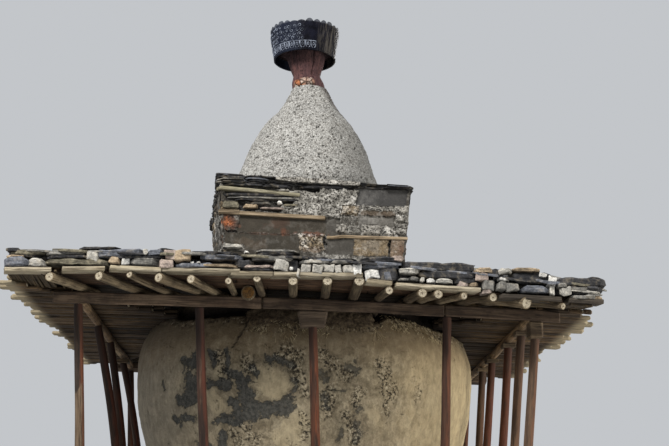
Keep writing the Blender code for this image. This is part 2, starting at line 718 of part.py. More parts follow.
make_base()
dome_fit = make_dome()
make_end_row("front", -1)
make_end_row("back", 1)
make_side_row("left", -1, LEFT_PLACES, LEFT_KNEE_LEANS, LEFT_FOOT_ROOMS, blocks=(3,))
make_side_row("right", 1, RIGHT_PLACES, RIGHT_KNEE_LEANS, RIGHT_FOOT_ROOMS, blocks=(1, 2, 3, 4))
make_beams()
make_rafters("front", -1)
make_rafters("back", 1)
make_ceiling("left", -1, dome_fit)
make_ceiling("right", 1, dome_fit)
make_roof_boards(dome_fit)
pedestal_fit = make_pedestal()
make_slates("front", 0, dome_fit, pedestal_fit)
make_slates("right", 1, dome_fit, pedestal_fit)
make_slates("back", 2, dome_fit, pedestal_fit)
make_slates("left", 3, dome_fit, pedestal_fit)
make_cone()
make_trunk()
make_collar()
make_crown()
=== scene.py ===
from math import asin, atan2, copysign, cos, exp, hypot, pi, radians, sin, sqrt
import random

import bmesh
import bpy
from mathutils.bvhtree import BVHTree
from mathutils import Euler, Matrix, Vector, noise


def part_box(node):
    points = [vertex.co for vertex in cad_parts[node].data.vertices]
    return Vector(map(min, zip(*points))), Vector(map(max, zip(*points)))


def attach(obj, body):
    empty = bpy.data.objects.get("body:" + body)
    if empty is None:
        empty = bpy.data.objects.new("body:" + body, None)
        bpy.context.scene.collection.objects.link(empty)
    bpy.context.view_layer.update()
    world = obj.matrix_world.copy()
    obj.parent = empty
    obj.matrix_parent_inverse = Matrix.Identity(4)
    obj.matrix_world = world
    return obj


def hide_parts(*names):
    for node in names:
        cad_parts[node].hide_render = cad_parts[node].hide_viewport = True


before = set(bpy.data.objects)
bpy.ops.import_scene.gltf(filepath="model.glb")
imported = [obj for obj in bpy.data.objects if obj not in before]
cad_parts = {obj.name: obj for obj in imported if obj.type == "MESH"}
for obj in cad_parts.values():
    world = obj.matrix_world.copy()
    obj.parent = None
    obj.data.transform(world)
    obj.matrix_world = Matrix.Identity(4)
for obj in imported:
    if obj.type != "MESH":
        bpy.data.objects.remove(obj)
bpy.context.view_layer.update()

# Camera
# It stands in front of the stupa at a walker's eye height and looks up at the canopy and the spire,
# so the plinth and the throne lie below the picture.
camera_data = bpy.data.cameras.new("camera")
camera_data.lens = 67.26
camera_data.sensor_width = 36
camera_data.clip_end = 200
camera = bpy.data.objects.new("camera", camera_data)
camera.location = (-0.27, -14.7, 1.6)
camera.rotation_euler = (radians(105.17), 0, radians(-2.49))
bpy.context.collection.objects.link(camera)
bpy.context.scene.camera = camera
bpy.context.scene.view_settings.view_transform = 'Standard'

# Dome
# The round body is rubble and earth under hand-laid mud plaster, widest just under the canopy. The last
# coat has come away in dark patches, rain has pitted it, and it stops short of the roof, where the raw
# mud shows. A crack runs down from the roof on the left. Light and shade are painted into the plaster:
# its right side is warmer and lighter, its left side cooler and greyer, its top darker under the canopy,
# and the hollow above the plaster's edge near-black.
DOME_FOOT = 1.2703
DOME_BELLY = 3.65
DOME_TOP = 4.44
DOME_FOOT_RADIUS = 1.55
DOME_BELLY_RADIUS = 1.97
DOME_SWELL = 2.4
DOME_ROUNDING = 1.30
DOME_SEEN_FROM = 2.60
DOME_SEEN_TO = 4.20


def linear(red, green, blue):
    """A colour in 8-bit values, as a shader wants it."""
    shares = [value / 255 for value in (red, green, blue)]
    return (*[s / 12.92 if s < 0.04 else ((s + 0.055) / 1.055) ** 2.4 for s in shares], 1.0)


def put(tree, kind, inputs, **settings):
    """Add a node, choose its options, and set or link its inputs."""
    node = tree.nodes.new(kind)
    for key, value in settings.items():
        setattr(node, key, value)
    for key, value in inputs.items():
        if isinstance(value, bpy.types.NodeSocket):
            tree.links.new(value, node.inputs[key])
        else:
            node.inputs[key].default_value = value
    return node


def mottled(where, scale, detail=4.0, roughness=0.55, distortion=0.0):
    """Noise, as a value from 0 to 1."""
    node = put(where.id_data, "ShaderNodeTexNoise", {"Vector": where, "Scale": scale, "Detail": detail,
                                                     "Roughness": roughness, "Distortion": distortion})
    return node.outputs[0]


def ranged(value, low, high, to_low=0.0, to_high=1.0):
    """Stretch one range of a value over another, with soft ends."""
    node = put(value.id_data, "ShaderNodeMapRange",
               {"Value": value, "From Min": low, "From Max": high, "To Min": to_low, "To Max": to_high},
               interpolation_type='SMOOTHSTEP')
    return node.outputs[0]


def worked(operation, first, second=0.0):
    """One sum on two values, of which at least one is a socket."""
    tree = (first if isinstance(first, bpy.types.NodeSocket) else second).id_data
    return put(tree, "ShaderNodeMath", {0: first, 1: second}, operation=operation).outputs[0]


def plus(first, second):
    return worked('ADD', first, second)


def minus(first, second):
    return worked('SUBTRACT', first, second)


def times(first, second):
    return worked('MULTIPLY', first, second)


def blended(share, first, second):
    """Two colours laid over each other by a share."""
    node = put(share.id_data, "ShaderNodeMix", {0: share, 6: first, 7: second}, data_type='RGBA')
    return node.outputs[2]


def shaded(coat, light):
    """A colour made lighter or darker by a value."""
    light = put(coat.id_data, "ShaderNodeCombineColor", {0: light, 1: light, 2: light}).outputs[0]
    node = put(coat.id_data, "ShaderNodeMix", {0: 1.0, 6: coat, 7: light}, data_type='RGBA',
               blend_type='MULTIPLY')
    return node.outputs[2]


def over(coat, share, red, green, blue):
    """A colour in 8-bit values laid over a coat by a share."""
    return blended(share, coat, linear(red, green, blue))


def stretched(where, scale):
    """Coordinates scaled differently along their axes."""
    return put(where.id_data, "ShaderNodeMapping", {"Vector": where, "Scale": scale}).outputs[0]


def axes(vector):
    """The three parts of a vector."""
    return put(vector.id_data, "ShaderNodeSeparateXYZ", {0: vector}).outputs


def new_group(name, wants, *values):
    """A shader node group that takes a place and other named inputs and gives a colour and named values."""
    group = bpy.data.node_groups.new(name, "ShaderNodeTree")
    for label, value in wants.items():
        kind = 'Float' if isinstance(value, float) else 'Vector' if len(value) == 3 else 'Color'
        socket = group.interface.new_socket(label, in_out='INPUT', socket_type='NodeSocket' + kind)
        socket.default_value = value
    group.interface.new_socket("Colour", in_out='OUTPUT', socket_type='NodeSocketColor')
    for label in values:
        group.interface.new_socket(label, in_out='OUTPUT', socket_type='NodeSocketFloat')
    return group, group.nodes.new("NodeGroupInput").outputs, group.nodes.new("NodeGroupOutput").inputs


def new_material(name, roughness):
    """A material with its shader and its object coordinates."""
    material = bpy.data.materials.new(name)
    material.use_nodes = True
    tree = material.node_tree
    shader = tree.nodes["Principled BSDF"]
    shader.inputs["Roughness"].default_value = roughness
    shader.inputs["Specular IOR Level"].default_value = 0.25
    where = tree.nodes.new("ShaderNodeTexCoord").outputs["Object"]
    return material, tree, shader, where


def laid(tree, group, inputs):
    """A group placed in a material with its own values, its colours in 8-bit values."""
    inputs = {key: linear(*value) if isinstance(value, tuple) else value for key, value in inputs.items()}
    return put(tree, "ShaderNodeGroup", inputs, node_tree=group).outputs


def surfaced(tree, shader, colour, height, depth, roughness=None):
    """Feed a colour and a relief to the shader."""
    tree.links.new(colour, shader.inputs["Base Color"])
    bump = put(tree, "ShaderNodeBump", {"Height": height, "Distance": depth, "Strength": 1.0})
    tree.links.new(bump.outputs[0], shader.inputs["Normal"])
    if roughness is not None:
        tree.links.new(roughness, shader.inputs["Roughness"])


def carried(tree, name, output="Vector"):
    """An attribute that a piece carries."""
    return put(tree, "ShaderNodeAttribute", {}, attribute_name=name).outputs[output]


def piece(name, bm, materials, replaced=(), smooth=None):
    """Turn a bmesh into a piece that rides on the body and stands for its CAD nodes."""
    bmesh.ops.recalc_face_normals(bm, faces=bm.faces)
    mesh = bpy.data.meshes.new(name)
    bm.to_mesh(mesh)
    bm.free()
    if smooth is not None:
        mesh.shade_smooth()
        mesh.set_sharp_from_angle(angle=radians(smooth))
    for material in materials:
        mesh.materials.append(material)
    thing = bpy.data.objects.new(name, mesh)
    bpy.context.collection.objects.link(thing)
    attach(thing, "root")
    if replaced:
        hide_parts(*replaced)
    return thing


def add_part(whole, part):
    """Move a part's mesh into the bmesh of its whole piece."""
    mesh = bpy.data.meshes.new("part")
    part.to_mesh(mesh)
    part.free()
    whole.from_mesh(mesh)
    bpy.data.meshes.remove(mesh)


def dome_radius(height):
    """The vase's outline: it swells to the belly and rounds over under the roof."""
    if height < DOME_BELLY:
        share = max(0.0, (height - DOME_FOOT) / (DOME_BELLY - DOME_FOOT))
        return DOME_FOOT_RADIUS + (DOME_BELLY_RADIUS - DOME_FOOT_RADIUS) * sin(pi / 2 * share) ** DOME_SWELL
    return DOME_BELLY_RADIUS * sqrt(1 - ((height - DOME_BELLY) / DOME_ROUNDING) ** 2)


def turned(profile, steps):
    """A shell spun round the vertical from (radius, height) points, closed at both ends."""
    bm = bmesh.new()
    verts = [bm.verts.new((radius, 0, height)) for radius, height in profile]
    edges = [bm.edges.new(pair) for pair in zip(verts, verts[1:])]
    bmesh.ops.spin(bm, geom=verts + edges, cent=(0, 0, 0), axis=(0, 0, 1), dvec=(0, 0, 0),
                   angle=2 * pi, steps=steps, use_merge=True, use_duplicate=False)
    bmesh.ops.holes_fill(bm, edges=bm.edges, sides=0)
    return bm


def lumps(point, size, seed=0.0, octaves=3):
    """Rough lumps of about one size, from -1 to 1."""
    return noise.fractal(point / size + Vector((seed, seed * 0.7, 0)), 0.9, 2.1, octaves)


def share_of(value):
    """A value kept between 0 and 1."""
    return min(1.0, max(0.0, value))


def spaced(first, last, count):
    """Places at even steps from the first to the last."""
    return [first + (last - first) * i / count for i in range(count + 1)]


def move(bm, matrix):
    """Move a part and turn it."""
    bmesh.ops.transform(bm, matrix=matrix, verts=bm.verts)


def read_off(knots, place):
    """Read a value off a line through (place, value) points."""
    for (low, first), (high, last) in zip(knots, knots[1:]):
        if place <= high:
            return first + (last - first) * max(0.0, (place - low) / (high - low))
    return knots[-1][1]


# Worn places as strokes across the front: from across, height to across, height, and half their width
DARK_STROKES = (
    (-1.31, 3.66, -1.18, 3.6, 0.05), (-1.17, 3.7, -1.11, 3.52, 0.06), (-1.25, 3.46, -1.17, 3.4, 0.075),
    (-1.22, 3.42, -1.2, 3.26, 0.09), (-1.34, 3.22, -1.18, 3.22, 0.055), (-1.38, 3.07, -1.16, 3.07, 0.038),
    (-1.34, 2.99, -1.32, 3.03, 0.025), (-0.99, 3.7, -0.98, 3.6, 0.048), (-0.82, 3.72, -0.8, 3.5, 0.036),
    (-1.02, 3.38, -0.82, 3.37, 0.05), (-0.74, 3.48, -0.66, 3.4, 0.065), (-0.56, 3.5, -0.52, 3.44, 0.042),
    (-0.66, 3.38, -0.58, 3.05, 0.088), (-0.76, 3.2, -0.66, 3.0, 0.06), (-0.6, 3.1, -0.45, 3.1, 0.08),
    (-0.42, 3.11, -0.22, 3.11, 0.078), (-0.2, 3.16, -0.12, 3.3, 0.03), (-0.98, 2.99, -0.8, 3.0, 0.03),
    (-0.85, 3.0, -0.68, 2.98, 0.05), (-0.87, 2.86, -0.86, 2.74, 0.055), (-0.43, 3.61, -0.33, 3.6, 0.036),
    (-0.27, 3.6, -0.15, 3.54, 0.042), (-0.13, 3.42, -0.1, 3.34, 0.028), (0.47, 3.56, 0.5, 3.5, 0.045),
    (0.17, 3.46, 0.2, 3.4, 0.032), (0.3, 3.29, 0.37, 3.29, 0.022), (0.17, 3.14, 0.22, 3.24, 0.032),
    (0.5, 3.11, 0.58, 3.11, 0.022), (0.5, 3.02, 0.52, 2.82, 0.034), (0.33, 2.94, 0.33, 2.8, 0.012),
    (-1.55, 3.48, -1.53, 3.4, 0.014), (-1.1, 2.78, -1.0, 2.74, 0.05))
PITTED_STROKES = (
    (-0.24, 3.69, -0.1, 3.64, 0.08), (0.16, 3.67, 0.3, 3.55, 0.09), (0.32, 3.48, 0.44, 3.46, 0.06),
    (0.8, 3.56, 0.86, 3.3, 0.1), (0.82, 3.22, 0.84, 3.1, 0.05), (0.26, 3.3, 0.2, 3.1, 0.08),
    (0.56, 3.28, 0.5, 3.16, 0.06), (-0.05, 3.04, 0.0, 2.86, 0.06), (-0.62, 2.92, -0.5, 2.8, 0.06),
    (-0.92, 3.68, -0.86, 3.5, 0.07), (1.19, 3.38, 1.19, 3.28, 0.03), (-0.1, 3.52, -0.02, 3.28, 0.07),
    (-0.75, 2.88, -0.7, 2.8, 0.06), (0.42, 3.05, 0.5, 2.8, 0.07), (-0.62, 3.62, -0.58, 3.5, 0.05))
PALE_STROKES = (
    (-0.42, 3.44, -0.3, 3.34, 0.14), (-0.95, 3.25, -0.92, 3.14, 0.09), (-0.1, 2.95, -0.2, 2.8, 0.14),
    (-0.92, 3.52, -0.88, 3.46, 0.06), (0.66, 3.1, 0.74, 3.0, 0.06))
STROKE_CELL = 0.3
DOME_LEFT = ((1.8, 0.0), (2.6, 1.0), (3.7, 1.0), (4.1, 0.0))
chance = random.Random(4)


def round_the_dome(strokes, count):
    """The front's strokes measured along the wall, others like them over the hidden sides, by cells."""
    spots = []
    for x0, z0, x1, z1, half in strokes:
        spots.append((asin(x0 / dome_radius(z0)) * DOME_BELLY_RADIUS, z0,
                      asin(x1 / dome_radius(z1)) * DOME_BELLY_RADIUS, z1, half))
    for turn in range(count):
        hidden = turn % 4
        along = chance.uniform(3.0, 9.4) if hidden else chance.uniform(-2.0, 2.0)
        if along > 6.19:
            along -= 2 * pi * DOME_BELLY_RADIUS
        height = chance.uniform(1.9, 3.9) if hidden else chance.uniform(1.4, 2.5)
        spots.append((along, height, along + chance.uniform(-0.12, 0.12),
                      height + chance.uniform(-0.14, 0.14), chance.uniform(0.04, 0.12)))
    cells = {}
    for spot in spots:
        for cell in range(int((min(spot[0], spot[2]) - 0.3) // STROKE_CELL),
                          int((max(spot[0], spot[2]) + 0.3) // STROKE_CELL) + 1):
            cells.setdefault(cell, []).append(spot)
    return cells


def stroke_depth(along, height, cells):
    """How deep a point lies in the nearest stroke, in metres, down to -0.2 outside."""
    best = -0.2
    for x0, z0, x1, z1, half in cells.get(int(along // STROKE_CELL), ()):
        run, rise = x1 - x0, z1 - z0
        share = share_of(((along - x0) * run + (height - z0) * rise) / (run * run + rise * rise + 0.00001))
        best = max(best, half - hypot(along - x0 - run * share, height - z0 - rise * share))
    return best


dark_cells = round_the_dome(DARK_STROKES, 64)
pitted_cells = round_the_dome(PITTED_STROKES, 70)
pale_cells = round_the_dome(PALE_STROKES, 50)
# Where the plaster stops under the roof: bearing from the front, height
PLASTER_EDGE = ((-pi, 4.10), (-1.2, 4.22), (-0.95, 4.20), (-0.80, 4.11), (-0.37, 4.09), (-0.335, 3.975),
                (0.385, 3.965), (0.47, 4.10), (0.65, 4.10), (0.86, 4.03), (1.2, 4.04), (pi, 4.10))
heights = spaced(DOME_FOOT, DOME_SEEN_FROM, 30)[:-1] + spaced(DOME_SEEN_FROM, DOME_SEEN_TO, 104)
heights += [4.25, 4.30, 4.38, DOME_TOP]
bm = turned([(dome_radius(height), height) for height in heights], 430)
wear = bm.verts.layers.float_vector.new("wear")
loss_and_shade = bm.verts.layers.float_vector.new("loss_and_shade")
for vert in bm.verts:
    radius = hypot(vert.co.x, vert.co.y)
    bearing = atan2(vert.co.x, -vert.co.y)
    bearing -= 0.45 * sin(bearing)
    vert.co = Vector((radius * sin(bearing), -radius * cos(bearing), vert.co.z))
    point = vert.co.copy()
    outward = Vector((sin(bearing), -cos(bearing), 0))
    along = bearing * DOME_BELLY_RADIUS + 0.040 * lumps(point, 0.16, 11.0)
    up = point.z + 0.040 * lumps(point, 0.16, 17.0)
    ragged = 0.026 * lumps(point, 0.07, 5.0, 3)
    dark = stroke_depth(along, up, dark_cells) + ragged
    pale = stroke_depth(along, up, pale_cells) + ragged
    rim = read_off(PLASTER_EDGE, bearing) + 0.018 * lumps(point, 0.10, 3.0)
    pitted = max(stroke_depth(along, up, pitted_cells), (0.05 if bearing > 0.5 else 0.01)
                 - 0.6 * abs(rim - 0.02 - point.z)) + ragged
    bare = share_of((point.z - rim) / 0.02)
    infill = share_of(1 - (abs(bearing - 0.03 + 0.05 * lumps(point, 0.08, 2.0)) - 0.37) / 0.05)
    fade = share_of((4.32 - point.z) / 0.10)
    hollow = bare * (1 - infill) * min(0.15, 0.03 + 1.2 * max(0.0, point.z - rim)) * fade
    crack = exp(-((bearing + 0.345 - 0.075 * max(0.0, point.z - 3.86) + 0.25 * max(0.0, 3.97 - point.z)
                   + 0.012 * lumps(point, 0.06, 1.0)) / 0.006) ** 2)
    crack *= 1.0 if 3.74 < point.z < 4.04 else 0.0
    vert[wear] = (dark, pitted, pale)
    vert[loss_and_shade] = (bare, crack, min(1.0, hollow / 0.05))
    push = 0.014 * lumps(point, 0.8) + 0.006 * lumps(point, 0.20, 2.0) + 0.0025 * lumps(point, 0.055, 4.0)
    push -= 0.007 * share_of(dark / 0.012)
    push += 0.006 * lumps(point, 0.030, 8.0, 2) * share_of(pitted / 0.03)
    push += 0.022 * lumps(point, 0.06, 2.5, 2) * share_of(1 - abs(rim - 0.03 - point.z) / 0.09) * (1 - infill)
    push += bare * (0.008 * infill - 0.010 + 0.020 * lumps(point, 0.10, 6.0)
                    + 0.012 * lumps(point, 0.03, 9.0))
    push -= hollow + 0.012 * crack
    push -= 0.045 * max(0.0, -outward.x) ** 3 * read_off(DOME_LEFT, point.z)
    if DOME_FOOT + 0.02 < point.z < 4.40:
        vert.co += outward * push

mud_skin, give, take = new_group(
    "mud_skin", {"Where": (0, 0, 0), "Light": linear(170, 160, 135), "Middle": linear(140, 130, 105),
                 "Dark": linear(95, 88, 70), "Lump Scale": 1.0, "Grit": 0.5}, "Height")
tree = mud_skin
scaled = put(tree, "ShaderNodeVectorMath", {0: give["Where"], 3: give["Lump Scale"]}, operation='SCALE')
near = scaled.outputs[0]
clouds = mottled(near, 1.6, 5.0, 0.6)
blots = mottled(near, 7.0, 6.0, 0.68, 0.4)
crumbs = mottled(near, 48.0, 4.0, 0.6)
grit = mottled(near, 210.0, 2.0, 0.5)
coat = blended(ranged(blots, 0.36, 0.56), give["Dark"], give["Middle"])
coat = blended(ranged(plus(clouds, blots), 0.98, 1.24), coat, give["Light"])
shadow = ranged(crumbs, 0.30, 0.62, 0.80, 1.10)
coat = shaded(coat, shadow)
specks = times(ranged(grit, 0.60, 0.70), give["Grit"])
coat = blended(specks, coat, give["Light"])
pits = times(ranged(grit, 0.40, 0.30), give["Grit"])
coat = blended(pits, coat, give["Dark"])
tree.links.new(coat, take["Colour"])
relief = plus(times(blots, 0.5), times(crumbs, 0.35))
tree.links.new(plus(relief, times(grit, 0.15)), take["Height"])

plaster, tree, shader, where = new_material("worn_plaster", 0.93)
skin = laid(tree, mud_skin, {"Where": where, "Light": (150, 139, 116), "Middle": (130, 119, 98),
                             "Dark": (102, 92, 74), "Grit": 0.6})
fields = axes(carried(tree, "wear"))
lost_and_shaded = axes(carried(tree, "loss_and_shade"))
sides = axes(where)
flakes = mottled(where, 9.0, 8.0, 0.68, 0.6)
fine = mottled(where, 42.0, 5.0, 0.70, 0.4)
fray = minus(plus(times(flakes, 0.16), times(fine, 0.10)), 0.130)
darkened = plus(fields[0], fray)
soft = mottled(where, 2.4, 4.0, 0.6)
pale_share = ranged(plus(fields[2], fray), -0.02, 0.03, 0.0, 0.65)
coat = over(skin["Colour"], pale_share, 160, 147, 119)
# Painted light: the plaster is tinted warmer and lighter towards the right side, as if lit from there, and
# cooler and greyer towards the left as painted shade.
painted_light_share = ranged(plus(sides[0], soft), 0.9, 2.3, 0.0, 0.80)
coat = over(coat, painted_light_share, 172, 155, 121)
painted_shade_share = ranged(minus(sides[0], soft), -1.3, -2.2, 0.0, 0.65)
coat = over(coat, painted_shade_share, 128, 121, 107)
smears = mottled(stretched(where, (16, 16, 7)), 1.0, 7.0, 0.70, 0.5)
smear_light = ranged(smears, 0.32, 0.68, 0.80, 1.20)
coat = shaded(coat, smear_light)
# Painted shade: the plaster is browned and darkened towards the top, under the canopy.
stain = plus(sides[2], times(flakes, 0.50))
coat = over(coat, ranged(stain, 3.72, 4.16, 0.0, 0.62), 98, 82, 60)
coat = over(coat, ranged(stain, 4.02, 4.30, 0.0, 0.30), 72, 60, 46)
coat = over(coat, ranged(darkened, -0.05, 0.01, 0.0, 0.38), 92, 86, 72)
dark_share = ranged(darkened, -0.005, 0.009, 0.0, 0.94)
flecks = ranged(mottled(where, 24.0, 7.0, 0.75, 0.3), 0.54, 0.64, 0.0, 0.75)
flecks = times(flecks, ranged(darkened, 0.055, 0.0, 0.12, 1.0))
dark_share = times(dark_share, minus(1.0, flecks))
older = blended(ranged(mottled(where, 30.0, 6.0, 0.7), 0.38, 0.66), linear(46, 47, 46), linear(80, 79, 74))
# Painted light: the worn patches are lightened towards the right side too.
older = over(older, ranged(plus(sides[0], soft), 0.0, 1.0, 0.0, 0.5), 100, 93, 78)
coat = blended(dark_share, coat, older)
coat = over(coat, ranged(worked('ABSOLUTE', darkened), 0.008, 0.002, 0.0, 0.40), 60, 55, 46)
pit_noise = mottled(where, 36.0, 4.0, 0.72, 0.3)
pit_zone = ranged(plus(fields[1], fray), -0.03, 0.03)
pit_zone = worked('MAXIMUM', pit_zone, ranged(flakes, 0.56, 0.70, 0.0, 0.6))
pits = times(ranged(pit_noise, 0.47, 0.42), pit_zone)
coat = over(coat, times(pits, 0.95), 40, 36, 30)
crests = times(ranged(pit_noise, 0.56, 0.62), pit_zone)
coat = over(coat, times(crests, 0.60), 184, 174, 150)
raw = blended(ranged(mottled(where, 34.0, 7.0, 0.78), 0.38, 0.64), linear(60, 50, 40), linear(100, 87, 68))
straw = mottled(stretched(where, (22, 60, 75)), 1.0, 5.0, 0.6, 1.2)
raw = over(raw, ranged(straw, 0.58, 0.68, 0.0, 0.4), 136, 120, 95)
coat = blended(lost_and_shaded[0], coat, raw)
# Painted shade: the hollow above the plaster's edge is painted near-black.
coat = over(coat, lost_and_shaded[2], 34, 28, 23)
coat = over(coat, lost_and_shaded[1], 30, 25, 20)
relief = minus(skin["Height"], times(pits, 0.8))
relief = minus(relief, times(dark_share, 0.35))
relief = plus(relief, times(smears, 0.5))
surfaced(tree, shader, coat, relief, 0.020)
surface = BVHTree.FromBMesh(bm)
straw = bmesh.new()
for _ in range(420):
    bearing = chance.choice((0.40, 0.45, 0.55, -0.30)) + chance.uniform(-0.04, 0.42)
    height = read_off(PLASTER_EDGE, bearing) + chance.uniform(-0.14, 0.05)
    outward = Vector((sin(bearing), -cos(bearing), 0))
    found = surface.ray_cast(outward * 3 + Vector((0, 0, height)), -outward)[0]
    lean = chance.uniform(-1.1, 1.1)
    heading = Vector((cos(bearing) * sin(lean), sin(bearing) * sin(lean), -cos(lean))) + outward * 0.35
    length = chance.uniform(0.03, 0.09)
    part = bmesh.new()
    bmesh.ops.create_cone(part, cap_ends=True, segments=3, radius1=0.0030, radius2=0.0016, depth=length)
    heading.normalize()
    place = Matrix.Translation(found + heading * length * 0.35)
    place @= heading.to_track_quat('Z', 'Y').to_matrix().to_4x4()
    move(part, place)
    add_part(straw, part)
piece("dome_plaster", bm, [plaster], ["dome"], 60)
straw_stem, tree, shader, where = new_material("straw_stem", 0.75)
shades = ranged(mottled(where, 9.0), 0.4, 0.6)
tree.links.new(blended(shades, linear(118, 100, 72), linear(186, 170, 134)), shader.inputs["Base Color"])
piece("dome_straw", straw, [straw_stem])

# Throne
# Two square steps of rubble masonry carry the dome. They are plastered with the same mud, laid by hand,
# so the faces are uneven and the corners are rounded and knocked.


def cube():
    """A block one metre long, wide and high."""
    bm = bmesh.new()
    bmesh.ops.create_cube(bm, size=1.0)
    return bm


def edges_along(bm, axis, least=0.5):
    """The edges that run farther than a length along an axis."""
    return [edge for edge in bm.edges if abs(edge.verts[0].co[axis] - edge.verts[1].co[axis]) > least]


def divide(bm, edges, cuts):
    """Cut edges, and the faces between them, into even parts."""
    bmesh.ops.subdivide_edges(bm, edges=edges, cuts=cuts, use_grid_fill=True)


def chamfer(bm, edges, width, rounds=1, clamped=False):
    """Break a block's edges."""
    bmesh.ops.bevel(bm, geom=edges, offset=width, offset_type='OFFSET', segments=rounds, profile=0.5,
                    affect='EDGES', clamp_overlap=clamped, material=-1)


def slumped_block(half, low, high, cuts, seed):
    """A square block with soft corners and uneven hand-laid faces."""
    bm = cube()
    bmesh.ops.scale(bm, vec=(2 * half, 2 * half, high - low), verts=bm.verts)
    bmesh.ops.translate(bm, vec=(0, 0, (high + low) / 2), verts=bm.verts)
    chamfer(bm, bm.edges[:], 0.025, 2)
    divide(bm, [edge for edge in bm.edges if edge.calc_length() > half], cuts)
    divide(bm, edges_along(bm, 2, (high - low) * 0.6), max(3, cuts // 6))
    for vert in bm.verts:
        outward = Vector((vert.co.x, vert.co.y, 0)).normalized()
        if low + 0.01 < vert.co.z:
            vert.co += outward * (0.010 * lumps(vert.co, 0.35, seed) - 0.006)
        if vert.co.z > high - 0.02:
            vert.co.z += 0.005 * lumps(vert.co, 0.3, seed + 2) - 0.004
    return bm


steps = bmesh.new()
add_part(steps, slumped_block(1.76, 0.3503, 0.812, 48, 1.0))
add_part(steps, slumped_block(1.65, 0.800, 1.272, 46, 6.0))
step_plaster, tree, shader, where = new_material("step_plaster", 0.94)
skin = laid(tree, mud_skin, {"Where": where, "Light": (178, 164, 134), "Middle": (150, 136, 106),
                             "Dark": (104, 94, 72), "Grit": 0.5})
fallen = ranged(mottled(where, 4.5, 8.0, 0.7, 0.5), 0.60, 0.64)
coat = over(skin["Colour"], fallen, 92, 82, 64)
splash = ranged(plus(axes(where)[2], times(mottled(where, 6.0), 0.5)), 0.85, 0.50, 0.0, 0.5)
coat = over(coat, splash, 96, 86, 68)
relief = minus(skin["Height"], times(fallen, 0.4))
surfaced(tree, shader, coat, relief, 0.022)
piece("throne_steps", steps, [step_plaster], ["throne"], 50)

# Plinth
# A low square platform of dry-laid field stones in four courses, with split flags on top. The posts and
# the throne stand on the flags.
PLINTH_HALF = 2.42
COURSE_HEIGHT = 0.079
FLAG_SPACING = 0.3186
FLAG_MIDDLE = 0.334
# Vector noise starts from the clock unless it gets a seed, and every stone and timber has to stay as it is
noise.seed_set(1)
STONE_KINDS = {
    "black": (52, 52, 54), "blue": (98, 101, 108), "grey": (118, 116, 111),
    "olive": (106, 101, 86), "tan": (150, 133, 110), "pink": (152, 138, 129),
    "white": (212, 210, 204), "pale": (164, 161, 153)}


def wobble(x, y, z):
    """A smooth random number between -1 and 1 for three numbers."""
    return noise.noise(Vector((x, y, z)))


def tinted(bm, kind, seed, layered=1.0):
    """Give a stone's points its colour, a little lighter or darker than its kind, and its layering."""
    tint = bm.verts.layers.float_color.new("tint")
    change = 1 + 0.16 * wobble(seed * 1.37, 3.1, 7.7)
    colour = [min(1.0, channel * change) for channel in linear(*STONE_KINDS[kind])[:3]]
    for vert in bm.verts:
        vert[tint] = (*colour, layered)


def set_down(bm, middle, tip, roll, turn):
    """Turn a stone and put it in its place."""
    move(bm, Matrix.Translation(middle) @ Euler((tip, roll, turn)).to_matrix().to_4x4())


def new_points(made):
    """The points that a bmesh operator added."""
    return [item for item in made["geom"] if isinstance(item, bmesh.types.BMVert)]


def stone(middle, size, kind, seed, cuts=2, rough=0.10, turn=0.0, tip=0.0, roll=0.0, soft=0.22):
    """A split stone: a block with crooked faces and broken edges."""
    bm = cube()
    divide(bm, edges_along(bm, 0), cuts)
    for vert in bm.verts:
        shift = noise.noise_vector(vert.co * 2.3 + Vector((seed * 2.13, seed * 0.71, seed)))
        vert.co += Vector((shift.x * rough, shift.y * rough, shift.z * rough * 1.6))
    bmesh.ops.scale(bm, vec=size, verts=bm.verts)
    sharp = [edge for edge in bm.edges if edge.calc_face_angle(0.0) > 0.5]
    chamfer(bm, sharp, min(size) * soft, clamped=True)
    set_down(bm, middle, tip, roll, turn)
    tinted(bm, kind, seed, 0.25)
    return bm


def flag(middle, radius, thickness, kind, seed, sides, longer, turn, tip, roll):
    """A split slate with an irregular outline and broken edges."""
    bm = bmesh.new()
    bmesh.ops.create_circle(bm, cap_ends=True, segments=sides, radius=radius)
    for i, vert in enumerate(bm.verts):
        vert.co *= 1 + 0.28 * wobble(seed * 1.9, i * 2.7, 1.3)
        vert.co.x *= longer
    made = bmesh.ops.extrude_face_region(bm, geom=bm.faces[:])
    bmesh.ops.translate(bm, vec=(0, 0, thickness), verts=new_points(made))
    for vert in bm.verts:
        vert.co.z += 0.25 * thickness * noise.noise(vert.co * 5 + Vector((seed, 0, 0)))
    chamfer(bm, bm.edges[:], thickness * 0.22, clamped=True)
    set_down(bm, middle, tip, roll, turn)
    tinted(bm, kind, seed)
    return bm


split_stone, give, take = new_group(
    "split_stone", {"Where": (0, 0, 0), "Tint": linear(120, 120, 120), "Layers": 60.0, "Dust": 0.3,
                    "Layered": 1.0}, "Height")
tree = split_stone
flat = put(tree, "ShaderNodeCombineXYZ", {0: 5.0, 1: 5.0, 2: give["Layers"]}).outputs[0]
flat = put(tree, "ShaderNodeVectorMath", {0: give["Where"], 1: flat}, operation='MULTIPLY').outputs[0]
cleaving = mottled(flat, 1.0, 6.0, 0.7, 0.3)
blots = mottled(give["Where"], 16.0, 6.0, 0.65, 0.3)
grit = mottled(give["Where"], 46.0, 5.0, 0.75)
darkest = minus(1.0, times(give["Layered"], 0.58))
lightest = plus(1.0, times(give["Layered"], 0.50))
light = times(ranged(cleaving, 0.30, 0.70, darkest, lightest), ranged(blots, 0.3, 0.7, 0.66, 1.30))
light = times(light, ranged(grit, 0.36, 0.62, 0.66, 1.26))
coat = shaded(give["Tint"], light)
dusty = times(ranged(blots, 0.50, 0.66), give["Dust"])
coat = over(coat, dusty, 150, 138, 116)
tree.links.new(coat, take["Colour"])
